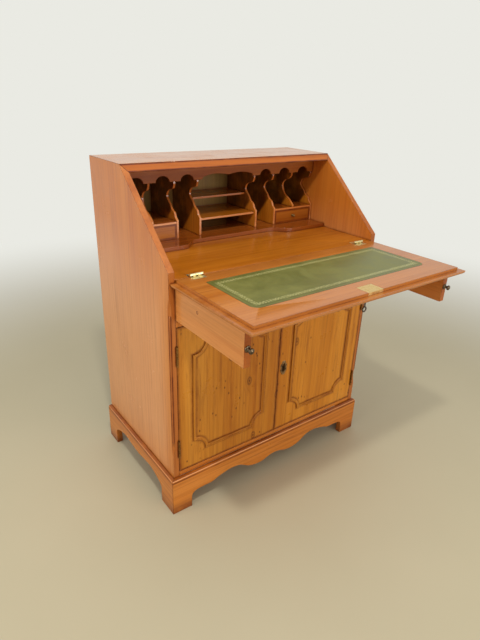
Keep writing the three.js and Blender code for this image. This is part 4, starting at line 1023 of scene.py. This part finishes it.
def notched_ring(half_x, half_z, inset, steps=14):
    """Points of the notched outline, moved in by inset: each corner has a short ear, a round
    hollow about the corner itself with radius NOTCH_RADIUS + inset, and another ear."""
    lead = NOTCH_LEAD + inset
    radius = NOTCH_RADIUS + inset
    drop = math.sqrt(radius ** 2 - lead ** 2)
    start = math.atan2(drop, lead)
    hollow = arc((0, 0), (-radius, -radius), start, math.pi / 2 - start, steps)
    corner = np.vstack([[[-lead, -inset]], hollow, [[-inset, -lead]]])
    flips = [(1, 1, False), (1, -1, True), (-1, -1, False), (-1, 1, True)]
    rings = []
    for sign_x, sign_z, backwards in flips:
        points = (corner + [half_x, half_z]) * [sign_x, sign_z]
        rings.append(points[::-1] if backwards else points)
    return np.vstack(rings)


def moulding_section(height):
    """Section of the moulding from its outer edge: a round shoulder, a flat, a hollow and a
    fillet, as pairs of inset and height."""
    shoulder = arc((0.3 * MOULDING_WIDTH, 0.45 * height), (-0.3 * MOULDING_WIDTH, 0.55 * height),
                   0, math.pi / 2, 7)
    hollow = arc((MOULDING_WIDTH, height), (-0.5 * MOULDING_WIDTH, -0.68 * height),
                 0.12, math.pi / 2 - 0.3, 9)
    return np.vstack([[[0, 0]], shoulder, hollow, [[MOULDING_WIDTH, 0.25 * height],
                                                   [MOULDING_WIDTH, 0]]])


def make_door_mouldings():
    """The moulding's section carried along the notched outline: one ring for each of its
    points, moved in by the point's inset and forwards by its height."""
    for node in sided("door_moulding"):
        low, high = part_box(node)
        middle, half = box_middle(node)
        section = moulding_section(high.y - low.y)
        rings = [notched_ring(half.x, half.z, inset) for inset, _ in section]
        grid = np.stack([
            np.column_stack([ring[:, 0] + middle.x, np.full(len(ring), high.y - rise),
                             ring[:, 1] + middle.z])
            for ring, (_, rise) in zip(rings, section)])
        mesh = mesh_from_grid(node + "_run", grid, wrap_rows=True, wrap_columns=True)
        add_piece(node + "_run", mesh, BODY_OF[node], "moulding", "moulding_wood", node)


# Key: its bow, shaft, the bead over the bow, the collar below the fall, its tip, and its bit's
# thickness, length and height
KEY_BOW_RADIUS = 6.2 * MM
KEY_BOW_TUBE = 1.8 * MM
KEY_SHAFT_RADIUS = 2.2 * MM
KEY_BEAD = 0.9 * MM
KEY_BEAD_RISE = 1.5 * MM
KEY_COLLAR = mm(1.3, 1.4)
KEY_COLLAR_DROP = 4.5 * MM
KEY_TIP = 0.4 * MM
KEY_BIT = mm(1.6, 5.6, 3)
KEY_BIT_ROUND = 0.25 * MM


def ring_grid(major, minor, steps=48, sides=16):
    """A torus in the x z plane: ((R + r cos b) cos a, r sin b, (R + r cos b) sin a)."""
    a = np.linspace(0, TURN, steps, endpoint=False)[:, None]
    b = np.linspace(0, TURN, sides, endpoint=False)[None, :]
    out = major + minor * np.cos(b)
    return np.stack([out * np.cos(a), minor * np.sin(b) + 0 * a, out * np.sin(a)], axis=-1)


def make_key():
    """A turned shaft with a bead and a collar, on a ring for a bow, with a square bit."""
    low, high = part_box("key")
    axis_x = (low.x + high.x) / 2
    axis_y = high.y - KEY_BIT[1]
    bow_middle = low.z + KEY_BOW_RADIUS + KEY_BOW_TUBE
    shank = bow_middle + KEY_BOW_RADIUS
    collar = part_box("fall_board")[0].z - KEY_COLLAR_DROP
    radius = KEY_SHAFT_RADIUS
    half_turn = (-math.pi / 2, math.pi / 2)
    profile = np.vstack([
        [[0, shank]], [[radius * 1.25, shank]],
        arc((radius, shank + KEY_BEAD_RISE), (KEY_BEAD, KEY_BEAD), *half_turn, 7),
        arc((radius, collar), KEY_COLLAR, *half_turn, 9),
        [[radius, high.z - KEY_TIP], [radius - KEY_TIP, high.z], [0, high.z]],
    ])
    shaft = revolved(profile, 28) + np.array([axis_x, axis_y, 0])
    bow = ring_grid(KEY_BOW_RADIUS, KEY_BOW_TUBE) + np.array([axis_x, axis_y, bow_middle])
    thick, long, tall = KEY_BIT
    bit = rounded_block((axis_x - thick / 2, axis_y, high.z - tall),
                        (axis_x + thick / 2, axis_y + long, high.z), KEY_BIT_ROUND)
    parts = [mesh_from_grid("shaft", shaft, wrap_rows=True),
             mesh_from_grid("bow", bow, wrap_rows=True, wrap_columns=True), bit]
    add_piece("key_turned", joined("key_turned", parts), "fall_key", "steel", "key_steel", "key")


def rounded_block(low, high, radius, steps=4):
    """A block with round edges: a grid over a sphere, each octant moved out to its corner."""
    low, high = np.array(low), np.array(high)
    polar = np.linspace(-math.pi / 2, math.pi / 2, 2 * steps)[None, :]
    around = np.concatenate([np.linspace(0, math.pi / 2, steps) + k * math.pi / 2
                             for k in range(4)])[:, None]
    unit = np.stack([np.cos(polar) * np.cos(around), np.cos(polar) * np.sin(around),
                     np.sin(polar) + 0 * around], axis=-1)
    quarter = np.repeat(np.arange(4), steps)[:, None]
    sign = np.stack([np.where((quarter == 0) | (quarter == 3), 1, -1) + 0 * polar,
                     np.where(quarter < 2, 1, -1) + 0 * polar,
                     np.where(np.arange(2 * steps) < steps, -1, 1)[None, :] + 0 * around], axis=-1)
    half = (high - low) / 2 - radius
    grid = (low + high) / 2 + sign * half + radius * unit
    caps = np.concatenate([grid[:, :1] * 0 + grid[:, :1].mean(axis=0), grid,
                           grid[:, -1:] * 0 + grid[:, -1:].mean(axis=0)], axis=1)
    return mesh_from_grid("block", caps, wrap_rows=True)


# Keyhole plate of the door

PLATE_SHARES = ((0.28, 1), (0.6, 0.86), (0.54, 0.7), (0.88, 0.52), (1, 0.24), (0.84, 0))
PLATE_STEPS = 96
PLATE_BEADS = 26


def plate_outline():
    """Outline of the keyhole plate in shares of its half width and half height: the quarter's
    points mirrored twice, and drawn evenly along their length with a running mean."""
    quarter = np.array(PLATE_SHARES, float)
    right = np.vstack([quarter * [1, -1], quarter[-2::-1]])
    ring = np.vstack([right, right[::-1] * [-1, 1]])
    closed = np.vstack([ring, ring[:1]])
    run = np.concatenate([[0], np.cumsum(np.linalg.norm(np.diff(closed, axis=0), axis=1))])
    even = np.linspace(0, run[-1], PLATE_STEPS, endpoint=False)
    points = np.column_stack([np.interp(even, run, closed[:, k]) for k in (0, 1)])
    return (np.roll(points, 1, axis=0) + 2 * points + np.roll(points, -1, axis=0)) / 4


def make_escutcheon():
    """A scrolled plate: at the share t of the way out to its outline, the height over the door
    is a dome plus a raised rim and, inside the rim, a row of beads."""
    node = "door_escutcheon"
    middle, half = box_middle(node)
    thick = 2 * half.y
    share = np.linspace(0, 1, 25)[None, :]
    outline = plate_outline()
    along = np.arange(PLATE_STEPS)[:, None] / PLATE_STEPS * TURN
    rim = np.exp(-((share - 0.94) / 0.04) ** 2)
    beads = np.exp(-((share - 0.8) / 0.07) ** 2) * (0.5 + 0.5 * np.cos(PLATE_BEADS * along))
    rise = thick * (0.4 + 0.2 * np.cos(share * math.pi / 2) + 0.25 * rim + 0.35 * beads)
    rise = np.minimum(rise * np.sqrt(np.clip((1 - share) / 0.04, 0, 1)), thick)
    x = middle.x + half.x * share * outline[:, :1]
    z = middle.z + half.z * share * outline[:, 1:]
    back = middle.y + half.y
    front = np.stack([x, back - rise, z], axis=-1)
    rear = np.stack([x, back + 0 * rise, z], axis=-1)[:, ::-1]
    mesh = mesh_from_grid("plate", np.concatenate([front, rear], axis=1), wrap_rows=True)
    add_piece("door_escutcheon_plate", mesh, BODY_OF[node], "escutcheon", "brass", node)


# Screws: the head's radius, slot, dome and depth, and where the screws sit in a leaf or plate
SCREW_RADIUS = 2.1 * MM
SCREW_SLOT = 0.4 * MM
SCREW_DEPTH = 0.6 * MM
SCREW_DOME = 0.25 * MM
SCREW_SUNK = 1.2 * MM
SCREW_PITCH = 12.5 * MM
SCREW_INSET = 5 * MM
SCREW_STAGGER = 4 * MM
LOCK_SCREW_INSET = 6 * MM
SCREW_TURNS = (0.4, 1.9, 1.1, 2.6)


def screw_mesh(place, turn):
    """A countersunk screw head that looks up: chords of a disc at x = s, y = sqrt(R^2 - s^2) t,
    slightly domed, and lower by the slot's depth where |x| is under the slot's half width."""
    slot = np.array([-1.02, -1, 1, 1.02]) * SCREW_SLOT
    chords = SCREW_RADIUS * np.cos(np.linspace(0, math.pi, 19))
    s = np.sort(np.concatenate([chords, slot]))[:, None]
    t = np.linspace(-1, 1, 13)[None, :]
    y = np.sqrt(np.maximum(SCREW_RADIUS ** 2 - s ** 2, 0)) * t
    dome = SCREW_DOME * (1 - (s ** 2 + y ** 2) / SCREW_RADIUS ** 2)
    top = dome - np.where(np.abs(s) <= 1.001 * SCREW_SLOT, SCREW_DEPTH, 0)
    upper = np.stack([s + 0 * t, y, top], axis=-1)
    lower = np.stack([s + 0 * t, y, -SCREW_SUNK + 0 * y], axis=-1)[:, ::-1]
    loop = np.concatenate([upper, lower], axis=1)
    turned = loop @ np.array(Matrix.Rotation(turn, 3, "Z")).T
    return mesh_from_grid("screw", turned + np.array(place), wrap_columns=True)


def make_screws():
    """Three screws in each leaf of the fall's hinges, the middle one nearer to the edge, and
    one in each corner of the lock's plate."""
    for side in ("left", "right"):
        for node, away in ((f"fall_hinge_case_{side}", 1), (f"fall_hinge_leaf_{side}", -1)):
            low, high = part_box(node)
            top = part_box("writing_board")[1].z if away > 0 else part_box("fall_leather")[1].z
            edge = high.y if away > 0 else low.y
            middle = (low.x + high.x) / 2
            heads = []
            for step in (-1, 0, 1):
                inset = SCREW_INSET + abs(step) * SCREW_STAGGER
                spot = (middle + step * SCREW_PITCH, edge - away * inset, top)
                heads.append(screw_mesh(spot, SCREW_TURNS[step + 1] + away))
            name = f"fall_hinge_screws_{'case' if away > 0 else 'leaf'}_{side}"
            add_piece(name, joined(name, heads), BODY_OF[node], "screw", "bright_brass")
    low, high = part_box("fall_lock")
    corners = [(x, y) for x in (low.x + LOCK_SCREW_INSET, high.x - LOCK_SCREW_INSET)
               for y in (low.y + LOCK_SCREW_INSET, high.y - LOCK_SCREW_INSET)]
    heads = [screw_mesh((x, y, high.z), turn) for (x, y), turn in zip(corners, SCREW_TURNS)]
    add_piece("fall_lock_screws", joined("fall_lock_screws", heads), BODY_OF["fall_lock"],
              "bright_brass", "bright_brass")


# Floor, light and camera

FLOOR_COLOUR = (184, 173, 141)
FLOOR_CLOUD = 8
BACKDROP_COLOUR = (234, 234, 227)
WORLD_COLOUR = (250, 250, 252)
WORLD_LEVEL = 0.5
FLOOR_RADIUS = 9.0
FLOOR_FADE = (1.1, 3.2)
DIRECT_RAYS = ("Is Camera Ray", "Is Glossy Ray", "Is Transmission Ray")


def seen_directly(s):
    """1 for rays from the camera, a mirror or glass, and 0 for rays that carry light."""
    paths = s.node("LightPath")
    return s.most(*(paths.outputs[ray] for ray in DIRECT_RAYS))


def make_floor():
    """A round floor that passes into the backdrop's colour away from the middle."""
    angle = np.linspace(0, TURN, 96, endpoint=False)[:, None]
    radius = np.linspace(0, FLOOR_RADIUS, 24)[None, :]
    grid = np.stack([radius * np.cos(angle), radius * np.sin(angle), 0 * radius * angle], axis=-1)
    mesh = mesh_from_grid("floor", grid, wrap_rows=True)
    floor = put_in_scene("floor", mesh)
    s = Shading("pale_floor")
    place = s.place()
    away = s.put("VectorMath", (place,), "Value", operation="LENGTH")
    cloud = s.span(s.noise(place, 1.6, 4.0), 0.3, 0.7, 0.0, 0.4)
    tone = s.mix(cloud, FLOOR_COLOUR, tuple(v + FLOOR_CLOUD for v in FLOOR_COLOUR))
    s.shade(base_color=tone, roughness=0.55)
    glow = s.put("Emission", {"Color": seen(*BACKDROP_COLOUR), "Strength": 1.0})
    fade = s.times(s.span(away, *FLOOR_FADE), seen_directly(s))
    s.show(s.put("MixShader", (fade, s.shader.outputs[0], glow)), "Material Output")
    mesh.materials.append(s.material)


def make_world():
    """Even studio light. Seen directly, the world has the backdrop's colour."""
    world = bpy.data.worlds.new("studio")
    bpy.context.scene.world = world
    s = Nodes(world)
    light = s.tree.nodes["Background"]
    s.fill(light.inputs["Color"], seen(*WORLD_COLOUR))
    s.fill(light.inputs["Strength"], WORLD_LEVEL)
    backdrop = s.put("Background", {"Color": seen(*BACKDROP_COLOUR)})
    mix = s.put("MixShader", (seen_directly(s), light.outputs[0], backdrop))
    s.show(mix, "World Output")


# Lamps: name, place, what it points at, its width and height, and its power in watts
LAMPS = (
    ("key", (-0.75, -0.85, 2.35), (0, 0.2, 0.8), (0.14, 0.14), 19),
    ("front", (0.6, -2.9, 0.9), (0, 0, 0.45), (2.6, 1.0), 38),
    ("left", (-2.6, 0.1, 1.3), (0, 0.1, 0.55), (2.0, 1.8), 27),
    ("overhead", (0.2, -0.5, 3.0), (0, 0, 0.6), (2.4, 2.4), 17),
)


def make_lamps():
    for name, place, target, size, power in LAMPS:
        data = bpy.data.lights.new(name, "AREA")
        data.shape = "RECTANGLE"
        data.size, data.size_y = size
        data.energy = power
        lamp = put_in_scene(name, data)
        aim = (Vector(target) - Vector(place)).to_track_quat("-Z", "Y").to_matrix().to_4x4()
        lamp.matrix_world = Matrix.Translation(place) @ aim


def make_camera():
    data = bpy.data.cameras.new("camera")
    data.sensor_width = SENSOR_MM
    data.lens = CAMERA_FOCUS_PIXELS / PICTURE_HEIGHT_PIXELS * SENSOR_MM
    data.shift_x = -CAMERA_MIDDLE_PIXELS[0] / PICTURE_HEIGHT_PIXELS
    data.shift_y = CAMERA_MIDDLE_PIXELS[1] / PICTURE_HEIGHT_PIXELS
    data.clip_start = NEAR_LIMIT
    camera = put_in_scene("camera", data)
    turn = (Matrix.Rotation(-CAMERA_YAW, 4, "Z")
            @ Matrix.Rotation(math.pi / 2 - CAMERA_DIP, 4, "X")
            @ Matrix.Rotation(CAMERA_ROLL, 4, "Z"))
    camera.matrix_world = Matrix.Translation(CAMERA_PLACE) @ turn
    bpy.context.scene.camera = camera


def dress_nodes():
    """Gives every node of the model that isn't replaced its finish."""
    for node, piece in frame["nodes"].items():
        piece.data.materials.clear()
        piece.data.materials.append(finishes[finish_for(node)])


make_camera()
dress_nodes()
ease_boards()
make_knobs()
make_door_mouldings()
make_key()
make_escutcheon()
make_screws()
make_floor()
make_world()
make_lamps()

bpy.context.scene.view_settings.view_transform = "Standard"
